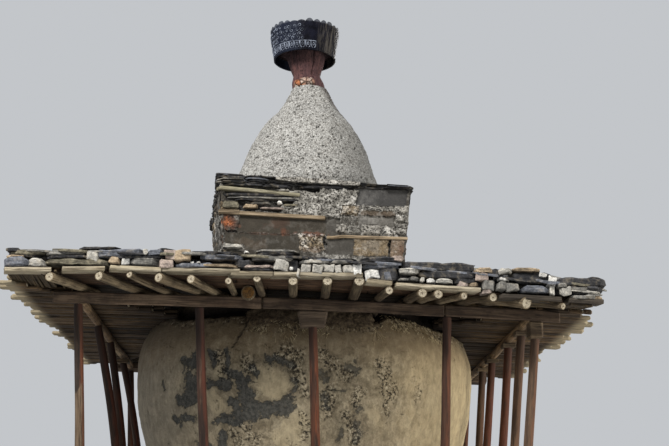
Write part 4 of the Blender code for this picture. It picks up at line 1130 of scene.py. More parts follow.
# The stones of the front edge: across, height, width, thickness, kind. Some black ones stand in for the
# shadowed gaps of the stack, as painted shade; all black ones are set back a little.
FRONT_STONES = (
    (-2.81, 4.379, 0.23, 0.096, "blue"), (-2.62, 4.375, 0.17, 0.087, "pale"),
    (-2.71, 4.473, 0.31, 0.056, "olive"), (-2.24, 4.38, 0.59, 0.058, "olive"),
    (-2.35, 4.476, 0.36, 0.061, "grey"), (-2.32, 4.431, 0.4, 0.037, "black"),
    (-2.08, 4.439, 0.1, 0.083, "pale"), (-2.03, 4.527, 0.39, 0.027, "black"),
    (-2.75, 4.441, 0.31, 0.027, "black"), (-1.83, 4.476, 0.48, 0.078, "blue"),
    (-1.49, 4.481, 0.18, 0.064, "blue"), (-1.59, 4.483, 0.04, 0.042, "pale"),
    (-1.87, 4.394, 0.09, 0.058, "tan"), (-1.78, 4.399, 0.07, 0.066, "white"),
    (-1.6, 4.394, 0.27, 0.08, "grey"), (-1.34, 4.462, 0.11, 0.082, "pink"),
    (-1.22, 4.451, 0.15, 0.085, "tan"), (-1.38, 4.368, 0.13, 0.078, "pink"),
    (-1.39, 4.518, 0.16, 0.028, "black"), (-1.02, 4.478, 0.3, 0.047, "black"),
    (-1.1, 4.359, 0.36, 0.055, "blue"), (-1.14, 4.393, 0.03, 0.021, "white"),
    (-1.07, 4.385, 0.04, 0.018, "white"), (-1.68, 4.433, 0.54, 0.028, "black"),
    (-0.85, 4.439, 0.4, 0.055, "blue"), (-0.88, 4.486, 0.35, 0.037, "black"),
    (-0.87, 4.357, 0.36, 0.033, "tan"), (-0.87, 4.325, 0.38, 0.033, "black"),
    (-0.75, 4.556, 0.18, 0.042, "pale"), (-0.61, 4.498, 0.05, 0.021, "white"),
    (-0.63, 4.379, 0.18, 0.09, "black"), (-0.36, 4.434, 0.39, 0.057, "grey"),
    (-0.31, 4.511, 0.41, 0.027, "grey"), (-0.33, 4.482, 0.34, 0.035, "black"),
    (-0.5, 4.353, 0.32, 0.035, "pink"), (-0.49, 4.325, 0.31, 0.028, "black"),
    (-0.27, 4.365, 0.13, 0.106, "pale"), (-0.15, 4.368, 0.1, 0.102, "black"),
    (-0.17, 4.337, 0.03, 0.031, "white"), (-0.02, 4.411, 0.16, 0.043, "pale"),
    (-0.1, 4.293, 0.02, 0.062, "pale"), (0.04, 4.442, 0.27, 0.039, "black"),
    (0.05, 4.406, 0.29, 0.042, "pale"), (0.32, 4.405, 0.26, 0.039, "grey"),
    (0.32, 4.435, 0.27, 0.021, "black"), (-0.03, 4.338, 0.09, 0.073, "pale"),
    (0.08, 4.336, 0.1, 0.072, "pale"), (0.19, 4.337, 0.1, 0.078, "pale"), (0.28, 4.333, 0.06, 0.068, "pale"),
    (0.37, 4.338, 0.1, 0.071, "pale"), (0.46, 4.342, 0.08, 0.1, "white"), (0.61, 4.294, 0.15, 0.085, "white"),
    (0.71, 4.435, 0.4, 0.059, "black"), (0.69, 4.374, 0.34, 0.056, "blue"),
    (0.76, 4.295, 0.2, 0.118, "black"), (0.76, 4.275, 0.06, 0.068, "blue"),
    (0.86, 4.448, 0.12, 0.059, "pink"), (0.95, 4.325, 0.14, 0.049, "pale"),
    (0.92, 4.241, 0.14, 0.028, "grey"), (0.97, 4.321, 0.19, 0.069, "pale"), (1.02, 4.248, 0.1, 0.048, "grey"),
    (1.09, 4.234, 0.04, 0.035, "pale"), (1.26, 4.372, 0.69, 0.098, "black"),
    (1.34, 4.29, 0.55, 0.077, "black"), (1.52, 4.236, 0.26, 0.063, "black"),
    (1.18, 4.229, 0.07, 0.039, "white"), (1.31, 4.226, 0.16, 0.051, "pale"), (1.49, 4.21, 0.1, 0.069, "pink"),
    (1.59, 4.194, 0.1, 0.049, "tan"), (1.68, 4.271, 0.12, 0.068, "pink"), (1.74, 4.195, 0.11, 0.096, "grey"),
    (1.72, 4.126, 0.11, 0.043, "pink"), (1.7, 4.335, 0.19, 0.056, "tan"), (1.89, 4.248, 0.11, 0.033, "white"),
    (1.82, 4.308, 0.06, 0.098, "black"), (1.9, 4.332, 0.14, 0.059, "pale"),
    (1.86, 4.186, 0.08, 0.092, "grey"), (1.97, 4.173, 0.11, 0.077, "grey"), (2.19, 4.15, 0.27, 0.069, "blue"),
    (2.16, 4.268, 0.4, 0.12, "black"), (2.11, 4.345, 0.27, 0.041, "tan"), (2.27, 4.298, 0.06, 0.035, "white"),
    (2.36, 4.229, 0.08, 0.085, "white"), (2.36, 4.142, 0.04, 0.092, "pale"), (2.49, 4.14, 0.09, 0.07, "pale"),
    (2.46, 4.192, 0.1, 0.048, "grey"), (2.62, 4.159, 0.21, 0.036, "grey"), (2.69, 4.12, 0.29, 0.035, "black"),
    (2.68, 4.078, 0.26, 0.042, "grey"), (2.64, 4.237, 0.5, 0.092, "black"),
    (2.66, 4.166, 0.39, 0.064, "black"))
SLATE_HALF = 2.95
SLATE_TOP = 0.3959
SLATE_RISE = sin(radians(10)) / cos(radians(10))
BED_OUTER = 2.83
BED_INNER = 0.75
EDGE_FACE = -2.94


def roof_height(x, y):
    """Top of the slates at a plan point, on the settled frame."""
    inward = SLATE_HALF - max(abs(x), abs(y))
    return BEAM_UNDERSIDE + SLATE_TOP + settlement(x, y) + inward * SLATE_RISE


def slab(middle, size, kind, seed, pointed=0.4, roll=0.0, cuts=5):
    """A split slate on edge: undercut below, sloping back above, crooked, with thin broken ends, its tint
    darkened along the bottom as painted shade and lightened along the top edge as a painted highlight.
    """
    bm = cube()
    divide(bm, edges_along(bm, 0), cuts)
    divide(bm, edges_along(bm, 2), 2)
    lean = 0.22 * wobble(seed * 0.83, 2.2, 3.3)
    painted_light_levels = []
    for vert in bm.verts:
        x, y, z = vert.co
        level = round((z + 0.5) * 3)
        station = round((x + 0.5) * (cuts + 1))
        painted_light_levels.append(level)
        crooked = wobble(seed * 1.37, station * 7.31, 1.3 if z > 0 else 6.7)
        trim = 0.06 + 0.60 * crooked * min(1.0, 0.05 / size[2])
        if station in (0, cuts + 1):
            broken = 1.0 + 2.4 * wobble(seed * 2.9, station * 3.1, 0.7)
            trim += pointed * max(0.0, broken) * (1.7 if (z > 0) == (lean > 0) else 0.2)
        z = (-0.5, -0.36, 0.30, 0.5)[level] * (1 - min(0.85, max(0.0, trim))) + lean * x * 2
        x += 0.05 * wobble(seed * 4.1, level * 2.3 + y, station * 1.7)
        vert.co = Vector((x * size[0], y * size[1], z * size[2]))
        if y < 0:
            jut = wobble(seed * 3.3, station * 1.91, level * 2.77)
            vert.co.y += (0.022, 0.004, 0.0, 0.020)[level] + 0.022 * jut
            vert.co.y += 0.05 * max(0.0, abs(x) - 0.40) / 0.10
    set_down(bm, middle, 0.0, roll, 0.0)
    tinted(bm, kind, seed)
    tint = bm.verts.layers.float_color["tint"]
    # Painted light: the bottom level is darkened as painted shade and the top level lightened as a painted
    # highlight.
    for vert, level in zip(bm.verts, painted_light_levels):
        shade = (0.38, 0.86, 0.98, 1.42)[level]
        vert[tint] = (*[channel * shade for channel in vert[tint][:3]], 1.0 if kind != "white" else 0.4)
    return bm


def rubble(middle, size, kind, seed):
    """A rough field stone: a rounded block with knocked faces."""
    bm = bmesh.new()
    bmesh.ops.create_icosphere(bm, subdivisions=2, radius=0.5)
    for vert in bm.verts:
        place = Vector([copysign(abs(part * 2) ** 0.62 / 2, part) for part in vert.co])
        shift = 0.22 * lumps(place, 0.50, seed, 2) + 0.09 * lumps(place, 0.16, seed + 3, 2)
        vert.co = place * (0.92 + shift)
    bmesh.ops.scale(bm, vec=size, verts=bm.verts)
    set_down(bm, middle, 0.0, 0.0, 0.0)
    tinted(bm, kind, seed)
    return bm


def roof_bed(turns):
    """The stones and mud under one side's slates, mitred at the corners, tinted black as painted shade for
    the gaps between the slates.
    """
    bm = bmesh.new()
    bmesh.ops.create_grid(bm, x_segments=30, y_segments=12, size=0.5)
    bmesh.ops.translate(bm, vec=(0, 0.5, 0), verts=bm.verts)
    for vert in bm.verts:
        across, inward = vert.co.x * 2, vert.co.y
        depth = BED_OUTER + (BED_INNER - BED_OUTER) * inward
        vert.co = Vector((across * depth, -depth, 0))
    made = bmesh.ops.extrude_face_region(bm, geom=bm.faces[:])
    raised = set(new_points(made))
    bmesh.ops.rotate(bm, cent=(0, 0, 0), matrix=Matrix.Rotation(turns * pi / 2, 3, 'Z'), verts=bm.verts)
    for vert in bm.verts:
        x, y = vert.co.x, vert.co.y
        if vert in raised:
            vert.co.z = roof_height(x, y) - 0.045 + 0.012 * lumps(vert.co, 0.2, 3.0)
        else:
            vert.co.z = BEAM_UNDERSIDE + 0.278 + settlement(x, y)
    # Painted shade: the bed is tinted black so the gaps between the slates look dark.
    tinted(bm, "black", 8.0 + turns)
    return bm


ROOF_KINDS = ["black", "blue", "blue", "grey", "grey", "olive", "olive"]
EDGE_KINDS = ["black", "black", "blue", "grey", "grey", "olive", "pale", "tan"]
PEBBLE_KINDS = ["white", "pale", "pink", "grey", "tan"]
for turns, row in enumerate(("front", "right", "back", "left")):
    chance = random.Random(90 + turns)
    quarter = Matrix.Rotation(turns * pi / 2, 4, 'Z')
    bm = roof_bed(turns)
    if row == "front":
        for seed, (x, z, wide, tall, kind) in enumerate(FRONT_STONES):
            deep = min(0.30, max(0.10, wide * 0.7))
            out = chance.uniform(-0.02, 0.02) + (0.015 if kind == "black" else 0.0)
            if wide > 1.9 * tall:
                part = slab((x, EDGE_FACE + out + deep / 2, z), (wide * 1.04, deep, tall * 1.02), kind,
                            seed * 1.3, 0.35, chance.uniform(-0.03, 0.03), max(3, round(wide / 0.07)))
            else:
                part = stone((x, EDGE_FACE + out + deep / 2, z), (wide * 1.02, deep, tall * 1.04), kind,
                             seed * 1.3, 1, 0.24, chance.uniform(-0.3, 0.3), chance.uniform(-0.2, 0.2),
                             chance.uniform(-0.22, 0.22), 0.10)
            add_part(bm, part)
    else:
        for layer in range(4):
            x = -2.93
            while x < 2.86:
                wide = chance.choice((0.10, 0.18, 0.26, 0.36, 0.48)) * chance.uniform(0.8, 1.2)
                wide = min(wide, 2.93 - x)
                tall = chance.uniform(0.026, 0.040)
                deep = min(0.30, max(0.12, wide * 0.7))
                out = EDGE_FACE + 0.012 * layer + chance.uniform(-0.02, 0.02) + deep / 2
                if chance.random() < 0.86:
                    part = slab((x + wide / 2, out, 0.0), (wide * 1.05, deep, tall),
                                chance.choice(EDGE_KINDS), chance.uniform(0, 90), 0.6,
                                chance.uniform(-0.03, 0.03))
                else:
                    part = stone((x + wide / 2, out, 0.0), (min(wide, 0.09), 0.10, 0.036),
                                 chance.choice(PEBBLE_KINDS), chance.uniform(0, 90), 2, 0.2)
                move(part, quarter)
                for vert in part.verts:
                    vert.co.z += BEAM_UNDERSIDE + 0.296 + 0.033 * layer + settlement(vert.co.x, vert.co.y)
                    if row == "right":
                        vert.co.x -= 0.09 * share_of((-2.1 - vert.co.y) / 0.5)
                add_part(bm, part)
                x += wide
    for ring in range(8):
        depth = 2.80 - 0.235 * ring
        count = max(6, int(2 * depth / 0.30))
        for i in range(count):
            x = -depth + (i + 0.5) * 2 * depth / count + chance.uniform(-0.05, 0.05)
            x = max(-depth + 0.05, min(depth - 0.05, x))
            radius = chance.uniform(0.15, 0.21)
            part = flag((x, -depth, 0.0), radius, chance.uniform(0.016, 0.028), chance.choice(ROOF_KINDS),
                        chance.uniform(0, 90), chance.choice((6, 7, 8)), chance.uniform(0.9, 1.25),
                        chance.uniform(-0.5, 0.5), chance.uniform(-0.04, 0.02), chance.uniform(-0.04, 0.04))
            move(part, quarter)
            lift = 0.006 * (i % 3) - 0.020
            for vert in part.verts:
                vert.co.z += roof_height(vert.co.x, vert.co.y) + lift
            add_part(bm, part)
    piece(f"slate_roof_{row}", bm, [slate], [f"slates_{row}"])

# Pedestal
# A square block of rubble, slate and mud brick on the dome, its walls leaning outward. Its front is a
# patchwork: smooth mud panels at the lower left, crumbling mortar in the middle, rubble courses at the
# right and slates at the upper left, with a lath and two lacing timbers let in.
PEDESTAL_HEIGHT = 1.28
PEDESTAL_FOOT_HALF = 0.985
PEDESTAL_FLARE = 0.115
PEDESTAL_PLACE = Matrix.Translation((0.015, 0, 0)) @ Matrix.Rotation(radians(5), 4, 'Z')
WALL_COLOURS = {
    "bed": (80, 76, 69), "slates": (42, 40, 38), "dark plaster": (64, 63, 62), "rubble": (134, 131, 124),
    "slab": (100, 97, 92), "smooth": (74, 71, 66), "panel": (64, 59, 51), "warm panel": (76, 60, 50),
    "low panel": (60, 56, 49), "orange": (156, 92, 56), "stain": (100, 66, 50), "tan": (128, 112, 88),
    "brown": (84, 73, 61), "pink": (130, 112, 94), "pale": (152, 148, 140), "black": (22, 20, 18),
    "grey": (90, 87, 81)}
# Left, right, bottom, top, colour, crumbling, how far it stands out, how round its edges are. The black patch
# under the coping's mortar ledge is partly a dark slate and partly painted shadow under the ledge.
FRONT_WALL = (
    (-1.2, 1.2, 4.4, 5.8, "bed", 0.6, 0.0, 0), (0.45, 1.2, 5.53, 5.75, "dark plaster", 0.12, -0.012, 0),
    (-1.2, -0.15, 5.42, 5.75, "slates", 0.3, -0.035, 0), (-0.22, 0.45, 5.65, 5.75, "black", 0.3, -0.035, 0),
    (-0.4, 0.12, 5.375, 5.5, "rubble", 1.0, 0.012, 0), (-0.26, 0.45, 5.36, 5.66, "rubble", 1.0, 0.016, 0),
    (0.05, 0.48, 5.58, 5.7, "rubble", 1.0, 0.012, 0), (0.12, 0.3, 5.16, 5.37, "smooth", 0.15, -0.012, 0),
    (-0.87, 0.12, 5.175, 5.37, "panel", 0.1, -0.012, 0),
    (-1.08, -0.17, 4.9, 5.165, "low panel", 0.14, -0.006, 0),
    (-1.06, -0.88, 5.165, 5.19, "black", 0.4, -0.02, 0), (-0.18, 0.105, 5.0, 5.18, "tan", 0.9, 0.004, 1),
    (0.1, 0.128, 5.01, 5.14, "black", 0.1, -0.045, 0), (0.295, 0.49, 5.405, 5.52, "tan", 0.7, 0.03, 1),
    (0.505, 0.93, 5.455, 5.52, "rubble", 1.0, 0.03, 1), (0.505, 0.93, 5.405, 5.462, "brown", 0.4, 0.014, 0),
    (0.93, 1.1, 5.445, 5.54, "pale", 0.9, 0.022, 1), (0.92, 1.09, 5.335, 5.44, "rubble", 0.9, 0.02, 1),
    (0.92, 1.09, 5.19, 5.33, "rubble", 0.9, 0.022, 1), (0.5, 0.9, 5.285, 5.39, "slab", 0.25, 0.004, 1),
    (0.29, 0.47, 5.3, 5.4, "grey", 0.6, -0.004, 0), (0.25, 0.37, 5.19, 5.3, "pale", 0.8, 0.024, 1),
    (0.38, 0.52, 5.19, 5.295, "rubble", 0.8, 0.02, 1), (0.53, 0.75, 5.19, 5.3, "pale", 0.9, 0.022, 1),
    (0.76, 0.92, 5.19, 5.295, "rubble", 0.9, 0.02, 1), (0.13, 0.44, 4.95, 5.135, "smooth", 0.12, -0.004, 0),
    (0.13, 0.29, 5.135, 5.15, "black", 0.1, -0.02, 0), (0.445, 0.835, 4.95, 5.145, "tan", 0.5, 0.004, 0),
    (0.838, 0.86, 4.99, 5.14, "black", 0.1, -0.045, 0), (0.863, 1.1, 4.93, 5.15, "pink", 0.5, 0.006, 0),
    (-1.05, -0.8, 4.96, 5.03, "pale", 0.7, 0.014, 1))
# Across, height, half width, half height, colour and strength of the washes and stains on it
WALL_STAINS = (
    (-0.98, 5.27, 0.13, 0.1, "stain", 0.9), (-1.01, 5.27, 0.07, 0.055, "orange", 1.0),
    (-1.065, 5.215, 0.035, 0.045, "pale", 0.9), (-0.35, 5.2, 0.055, 0.045, "stain", 0.8),
    (-0.4, 5.3, 0.16, 0.08, "warm panel", 0.8), (-0.04, 5.17, 0.16, 0.034, "stain", 0.9),
    (-0.62, 5.165, 0.3, 0.016, "stain", 0.35), (-0.02, 5.0, 0.12, 0.03, "pink", 0.8),
    (-1.06, 5.08, 0.05, 0.1, "stain", 0.6), (1.04, 5.02, 0.07, 0.06, "stain", 0.5),
    (0.62, 5.06, 0.16, 0.07, "pale", 0.35), (-0.75, 5.05, 0.2, 0.06, "brown", 0.5))


def pedestal_half(height):
    """Half the pedestal's width at a height."""
    return PEDESTAL_FOOT_HALF + (height - DOME_TOP) / PEDESTAL_HEIGHT * PEDESTAL_FLARE


def wall_face(patches, stains, columns, rows, turns, seed):
    """One face of the block as a thick skin, its patches each with their colour and relief."""
    shades = {kind: linear(*colour) for kind, colour in WALL_COLOURS.items()}
    bm = bmesh.new()
    bmesh.ops.create_grid(bm, x_segments=columns, y_segments=rows, size=1.0)
    tint = bm.verts.layers.float_color.new("tint")
    for vert in bm.verts:
        z = DOME_TOP + 0.0015 + (vert.co.y + 1) / 2 * (PEDESTAL_HEIGHT - 0.0025)
        half = pedestal_half(z)
        x = vert.co.x * half
        spot = Vector((x, seed + 0.37, z + 0.11 * x))
        u = x + 0.024 * lumps(spot, 0.10, 1.0) + 0.008 * lumps(spot, 0.03, 5.0)
        v = z + 0.013 * lumps(spot, 0.07, 4.0) + 0.006 * lumps(spot, 0.025, 8.0)
        shown = patches[0]
        for patch in patches:
            if patch[0] < u < patch[1] and patch[2] < v < patch[3]:
                shown = patch
        left, right, low, high, kind, crumbling, proud, rounded = shown
        if rounded:
            across = abs(u - (left + right) / 2) / (right - left) * 2
            upright = abs(v - (low + high) / 2) / (high - low) * 2
            proud = proud * (1 - max(across, upright) ** 4) - 0.010 * max(across, upright) ** 8
        push = proud + 0.004 * lumps(spot, 0.3, 7.0)
        push += crumbling * (0.010 * lumps(spot, 0.055, 2.0) + 0.007 * lumps(spot, 0.022, 5.0, 2))
        colour = shades[kind]
        for x_stain, z_stain, wide, tall, stain, strength in stains:
            reach = hypot((x - x_stain) / wide, (z - z_stain) / tall) + 0.75 * lumps(spot, 0.085, 6.0)
            share = strength * share_of((1.15 - reach) / 0.55)
            colour = [a + (b - a) * share for a, b in zip(colour, shades[stain])]
        light = 1 + 0.16 * lumps(spot, 0.12, 9.0) + crumbling * 0.30 * lumps(spot, 0.03, 3.0, 2)
        vert[tint] = (*[max(0.0, channel * light) for channel in colour[:3]], crumbling)
        edge = min(1.0, (half - abs(x)) / 0.02)
        x *= 1 + 0.006 * lumps(spot, 0.09, 8.0)
        vert.co = Vector((x, -half + 0.012 - max(-0.05, push) * edge, z))
    rim = [edge for edge in bm.edges if edge.is_boundary]
    for vert in new_points(bmesh.ops.extrude_edge_only(bm, edges=rim)):
        vert.co.x *= 0.93
        vert.co.y = -pedestal_half(vert.co.z) + 0.10
    bmesh.ops.holes_fill(bm, edges=bm.edges, sides=0)
    move(bm, PEDESTAL_PLACE @ Matrix.Rotation(turns * pi / 2, 4, 'Z'))
    return bm


wall, tree, shader, where = new_material("pedestal_wall", 0.93)
own = carried(tree, "tint", "Color")
crumbling = carried(tree, "tint", "Alpha")
light = blended(ranged(crumbling, 0.0, 1.0, 0.05, 0.68), own, linear(222, 219, 212))
dark = blended(ranged(crumbling, 0.0, 1.0, 0.12, 0.70), own, linear(30, 27, 24))
skin = laid(tree, mud_skin, {"Where": where, "Light": light, "Middle": own, "Dark": dark, "Grit": 0.8,
                             "Lump Scale": 2.2})
holes = ranged(mottled(where, 48.0, 3.0, 0.6), 0.46, 0.40)
holes = times(holes, ranged(crumbling, 0.2, 0.9, 0.0, 0.92))
coat = over(skin["Colour"], holes, 34, 30, 26)
surfaced(tree, shader, coat, minus(skin["Height"], holes), 0.014)
core = cube()
for vert in core.verts:
    height = DOME_TOP + 0.001 + (vert.co.z + 0.5) * (PEDESTAL_HEIGHT - 0.002)
    half = pedestal_half(height) - 0.05
    vert.co = Vector((vert.co.x * 2 * half, vert.co.y * 2 * half, height))
move(core, PEDESTAL_PLACE)
tinted(core, "grey", 2.0)
add_part(core, wall_face(FRONT_WALL, WALL_STAINS, 290, 165, 0, 0.0))
piece("pedestal_front_wall", core, [wall], ["pedestal"])
chance = random.Random(120)
walls = bmesh.new()
for turns in (1, 2, 3):
    patches = [(-1.20, 1.20, 4.40, 5.80, "bed", 0.6, 0.0, 0)]
    z = 4.62
    while z < 5.66:
        tall = min(chance.uniform(0.06, 0.14), 5.71 - z)
        x = -1.12
        while x < 1.10:
            wide = chance.uniform(0.12, 0.38)
            if chance.random() < 0.76:
                kind = chance.choice(("grey", "grey", "tan", "brown", "rubble", "brown", "smooth", "slab"))
                patches.append((x + 0.008, x + wide - 0.008, z + 0.006, z + tall - 0.006, kind,
                                chance.uniform(0.3, 0.9), chance.uniform(0.008, 0.026), 1))
            x += wide
        z += tall
    add_part(walls, wall_face(patches, (), 120, 70, turns, 3.0 * turns))
piece("pedestal_side_walls", walls, [wall])
# Slates and stones let into the front's upper part: across, height, width, thickness, kind
UPPER_SLATES = (
    (-0.62, 5.6, 0.88, 0.036, "black"), (-0.58, 5.567, 0.84, 0.03, "grey"),
    (-0.72, 5.54, 0.4, 0.026, "black"), (-0.3, 5.55, 0.24, 0.03, "black"),
    (-0.965, 5.48, 0.205, 0.098, "olive"), (-0.735, 5.468, 0.17, 0.046, "tan"),
    (-0.48, 5.45, 0.3, 0.028, "pink"), (-0.408, 5.522, 0.066, 0.05, "white"),
    (-0.62, 5.508, 0.24, 0.028, "grey"), (-0.28, 5.495, 0.2, 0.034, "olive"),
    (-0.36, 5.662, 0.13, 0.03, "pale"), (-0.27, 5.64, 0.09, 0.036, "pale"),
    (-0.215, 5.605, 0.08, 0.04, "pale"), (-0.8, 5.71, 0.5, 0.03, "black"),
    (-0.45, 5.705, 0.34, 0.034, "black"), (0.1, 5.712, 0.56, 0.034, "black"))
slates = bmesh.new()
for seed, (x, z, wide, tall, kind) in enumerate(UPPER_SLATES):
    middle = (x, -pedestal_half(z) + 0.045, z)
    if wide > 2.2 * tall:
        part = slab(middle, (wide, 0.12, tall), kind, seed * 1.7 + 0.4)
    else:
        part = rubble(middle, (wide, 0.12, tall), kind, seed * 1.7 + 0.4)
    move(part, PEDESTAL_PLACE)
    add_part(slates, part)
piece("pedestal_slates", slates, [slate])
lath = hewn((-1.108, -1.075, 5.664), (-0.20, -1.070, 5.612), 0.10, 0.042, 520, 16, 0.09, soft=0.2, point=0.4)
move(lath, PEDESTAL_PLACE)
lath_wood = timber_finish("lath_wood", (172, 166, 142), (140, 133, 110), (76, 70, 57), 0.3)
piece("pedestal_lath", lath, [lath_wood, lath_wood])
lacing_wood = timber_finish("lacing_wood", (178, 160, 134), (146, 128, 102), (80, 66, 50), 0.3)
for seed, (name, left, right, z, slope) in enumerate((("left", -1.09, 0.11, 5.375, 0.026),
                                                      ("right", 0.13, 1.06, 5.125, 0.0))):
    face = -pedestal_half(z) - (0.02 if name == "left" else 0.012)
    mid = (left + right) / 2
    bm = hewn((left, face + 0.06, z + slope * (mid - left)), (right, face + 0.06, z - slope * (right - mid)),
              0.12, 0.042 if name == "left" else 0.032, seed + 500, 14, 0.06)
    for vert in bm.verts:
        if name == "right":
            vert.co.z += 0.014 + 0.016 * share_of((vert.co.x - 0.20) / 0.10)
    if name == "left":
        add_part(bm, hewn((-1.095, face + 0.055, 5.398), (-0.86, face + 0.055, 5.396), 0.115, 0.040, 503, 4,
                          0.08))
    move(bm, PEDESTAL_PLACE)
    piece(f"lacing_timber_{name}", bm, [lacing_wood, end_grain], [f"pedestal_timber_{name}"])

# Coping
# Split slates bedded in mud cover the pedestal. The left side is built up of thin slates; the middle of
# the front is a ledge of pale mortar over a dark slate.
COPING_HALF = 1.125
COPING_FOOT = 5.721
COPING_TOP = 5.84
COPING_FALL = 0.0332


def coping_top(x):
    """The coping falls from its thick left side to its thin right side."""
    return COPING_TOP - (x + 1.115) * COPING_FALL


bm = bmesh.new()
chance = random.Random(130)
for turns in range(4):
    quarter = Matrix.Rotation(turns * pi / 2, 4, 'Z')
    for layer in range(4):
        x = -COPING_HALF
        while x < 1.08:
            wide = min(chance.uniform(0.22, 0.46), COPING_HALF - x)
            out = chance.uniform(-0.010, 0.016) + 0.006 * (3 - layer)
            if turns == 0 and layer > 1 and -0.62 < x < 0.42:
                x += 0.04
                continue
            part = slab((x + wide / 2, -COPING_HALF + 0.15 + out, 0.0), (wide * 1.06, 0.30, 1.0),
                        chance.choice(("black", "black", "black", "grey", "blue")), chance.uniform(0, 90),
                        0.35)
            move(part, quarter)
            for vert in part.verts:
                high = coping_top(vert.co.x) - 0.002
                step = (high - COPING_FOOT) / 4
                vert.co.z = min(high, COPING_FOOT + step * (layer + 0.5 + 0.80 * vert.co.z))
            move(part, PEDESTAL_PLACE)
            add_part(bm, part)
            x += wide
core = cube()
divide(core, core.edges[:], 30)
for vert in core.verts:
    x, y = vert.co.x * 2.08, vert.co.y * 2.08
    top = coping_top(x) - 0.006 + 0.006 * lumps(Vector((x, y, 0)), 0.2)
    vert.co = Vector((x, y, COPING_FOOT + 0.001 if vert.co.z < 0 else top))
move(core, PEDESTAL_PLACE)
tinted(core, "grey", 5.0)
add_part(bm, core)
piece("coping_slates", bm, [slate], ["pedestal_coping"])
ledge = cube()
divide(ledge, ledge.edges[:], 40)
for vert in ledge.verts:
    x = 0.02 + vert.co.x * 0.96
    y = -1.11 + 0.10 + vert.co.y * 0.24
    z = coping_top(x) - 0.026 + vert.co.z * 0.050
    if vert.co.y < 0:
        y -= 0.014 * lumps(Vector((x, 0, z)), 0.05, 1.0) + 0.010
    z += 0.010 * lumps(Vector((x, y, z)), 0.07, 3.0)
    z -= 0.016 * abs(vert.co.x * 2) ** 6 * (1 if vert.co.z > 0 else -1)
    vert.co = Vector((x, y, z))
move(ledge, PEDESTAL_PLACE)
tint = ledge.verts.layers.float_color.new("tint")
for vert in ledge.verts:
    vert[tint] = linear(158, 154, 146)
piece("coping_mortar", ledge, [wall])

# Cone
# The spire's core is a tapering stack of stones; what shows is its coat of coarse grey mud, thrown and
# patted on by hand, full of grit and small holes and with a few thin cracks. Its right side is painted
# darker as shade, with a darker strip down its right edge near the top.
CONE_FOOT = 5.745
CONE_TOP = 7.29
# Height and radius, then height and how far the left side stands out
CONE_PROFILE = ((5.70, 0.90), (5.95, 0.90), (6.13, 0.83), (6.37, 0.74), (6.68, 0.62), (6.80, 0.55),
                (6.97, 0.41), (7.13, 0.315), (7.29, 0.245))
CONE_LEFT = ((5.75, 0.01), (6.00, 0.03), (6.30, 0.030), (6.48, 0.032), (6.62, 0.010), (6.85, -0.008),
             (6.95, -0.030), (7.29, -0.040))
bm = turned([(read_off(CONE_PROFILE, height), height) for height in spaced(CONE_FOOT, CONE_TOP, 170)], 400)
for vert in bm.verts:
    outward = Vector((vert.co.x, vert.co.y, 0))
    if outward.length > 0.1 and vert.co.z < CONE_TOP - 0.005:
        outward.normalize()
        push = 0.010 * lumps(vert.co, 0.30, 1.0) + 0.005 * lumps(vert.co, 0.09, 3.0)
        push += 0.006 * lumps(vert.co, 0.028, 6.0, 2) - 0.003
        pit = noise.noise(vert.co * 26 + Vector((3, 1, 9)))
        push -= 0.024 * max(0.0, pit - 0.28) / 0.3
        if vert.co.z > 7.10:
            push += 0.012 * lumps(vert.co, 0.07, 2.0)
        push += 0.020 * max(0.0, outward.x) ** 2 * exp(-((vert.co.z - 6.45) / 0.25) ** 2)
        vert.co += outward * push
    if outward.length > 0.1:
        outward.normalize()
        vert.co += outward * max(0.0, -outward.x) ** 2 * read_off(CONE_LEFT, vert.co.z)
    if vert.co.z < 5.80:
        vert.co.z = coping_top(vert.co.x) - 0.006 + (vert.co.z - CONE_FOOT)
bmesh.ops.translate(bm, vec=(0.035, 0, 0), verts=bm.verts)
cone_mud, tree, shader, where = new_material("cone_mud", 0.95)
skin = laid(tree, mud_skin, {"Where": where, "Light": (164, 163, 159), "Middle": (152, 151, 147),
                             "Dark": (136, 134, 129), "Grit": 1.0, "Lump Scale": 1.7})
speckle = mottled(where, 60.0, 4.0, 0.75)
coat = over(skin["Colour"], ranged(speckle, 0.45, 0.38, 0.0, 1.0), 48, 45, 41)
coat = over(coat, ranged(speckle, 0.53, 0.60, 0.0, 0.75), 218, 217, 212)
hole = ranged(mottled(where, 28.0, 2.0, 0.5), 0.345, 0.315)
coat = over(coat, times(hole, 0.9), 44, 42, 38)
streak = mottled(stretched(where, (3.0, 3.0, 9.0)), 1.0, 6.0, 0.6, 0.6)
split = ranged(worked('ABSOLUTE', minus(streak, 0.52)), 0.006, 0.001)
split = times(split, ranged(mottled(where, 2.5), 0.50, 0.60))
coat = over(coat, times(split, 0.7), 66, 63, 57)
# Painted shade: the cone darkens towards its right side, and a dark strip runs down its right edge near the
# top.
side = axes(where)[0]
coat = over(coat, ranged(side, 0.10, 0.75, 0.0, 0.62), 88, 87, 84)
high = axes(where)[2]
right_edge_shade = minus(side, times(minus(CONE_TOP, high), 0.62))
right_edge_shade = ranged(plus(right_edge_shade, times(speckle, 0.1)), 0.19, 0.27, 0.0, 0.7)
coat = over(coat, times(right_edge_shade, ranged(high, 6.85, 7.05)), 62, 54, 50)
relief = plus(skin["Height"], times(speckle, 0.8))
relief = minus(relief, plus(hole, split))
surfaced(tree, shader, coat, relief, 0.018)
piece("cone_coat", bm, [cone_mud], ["cone"], 60)

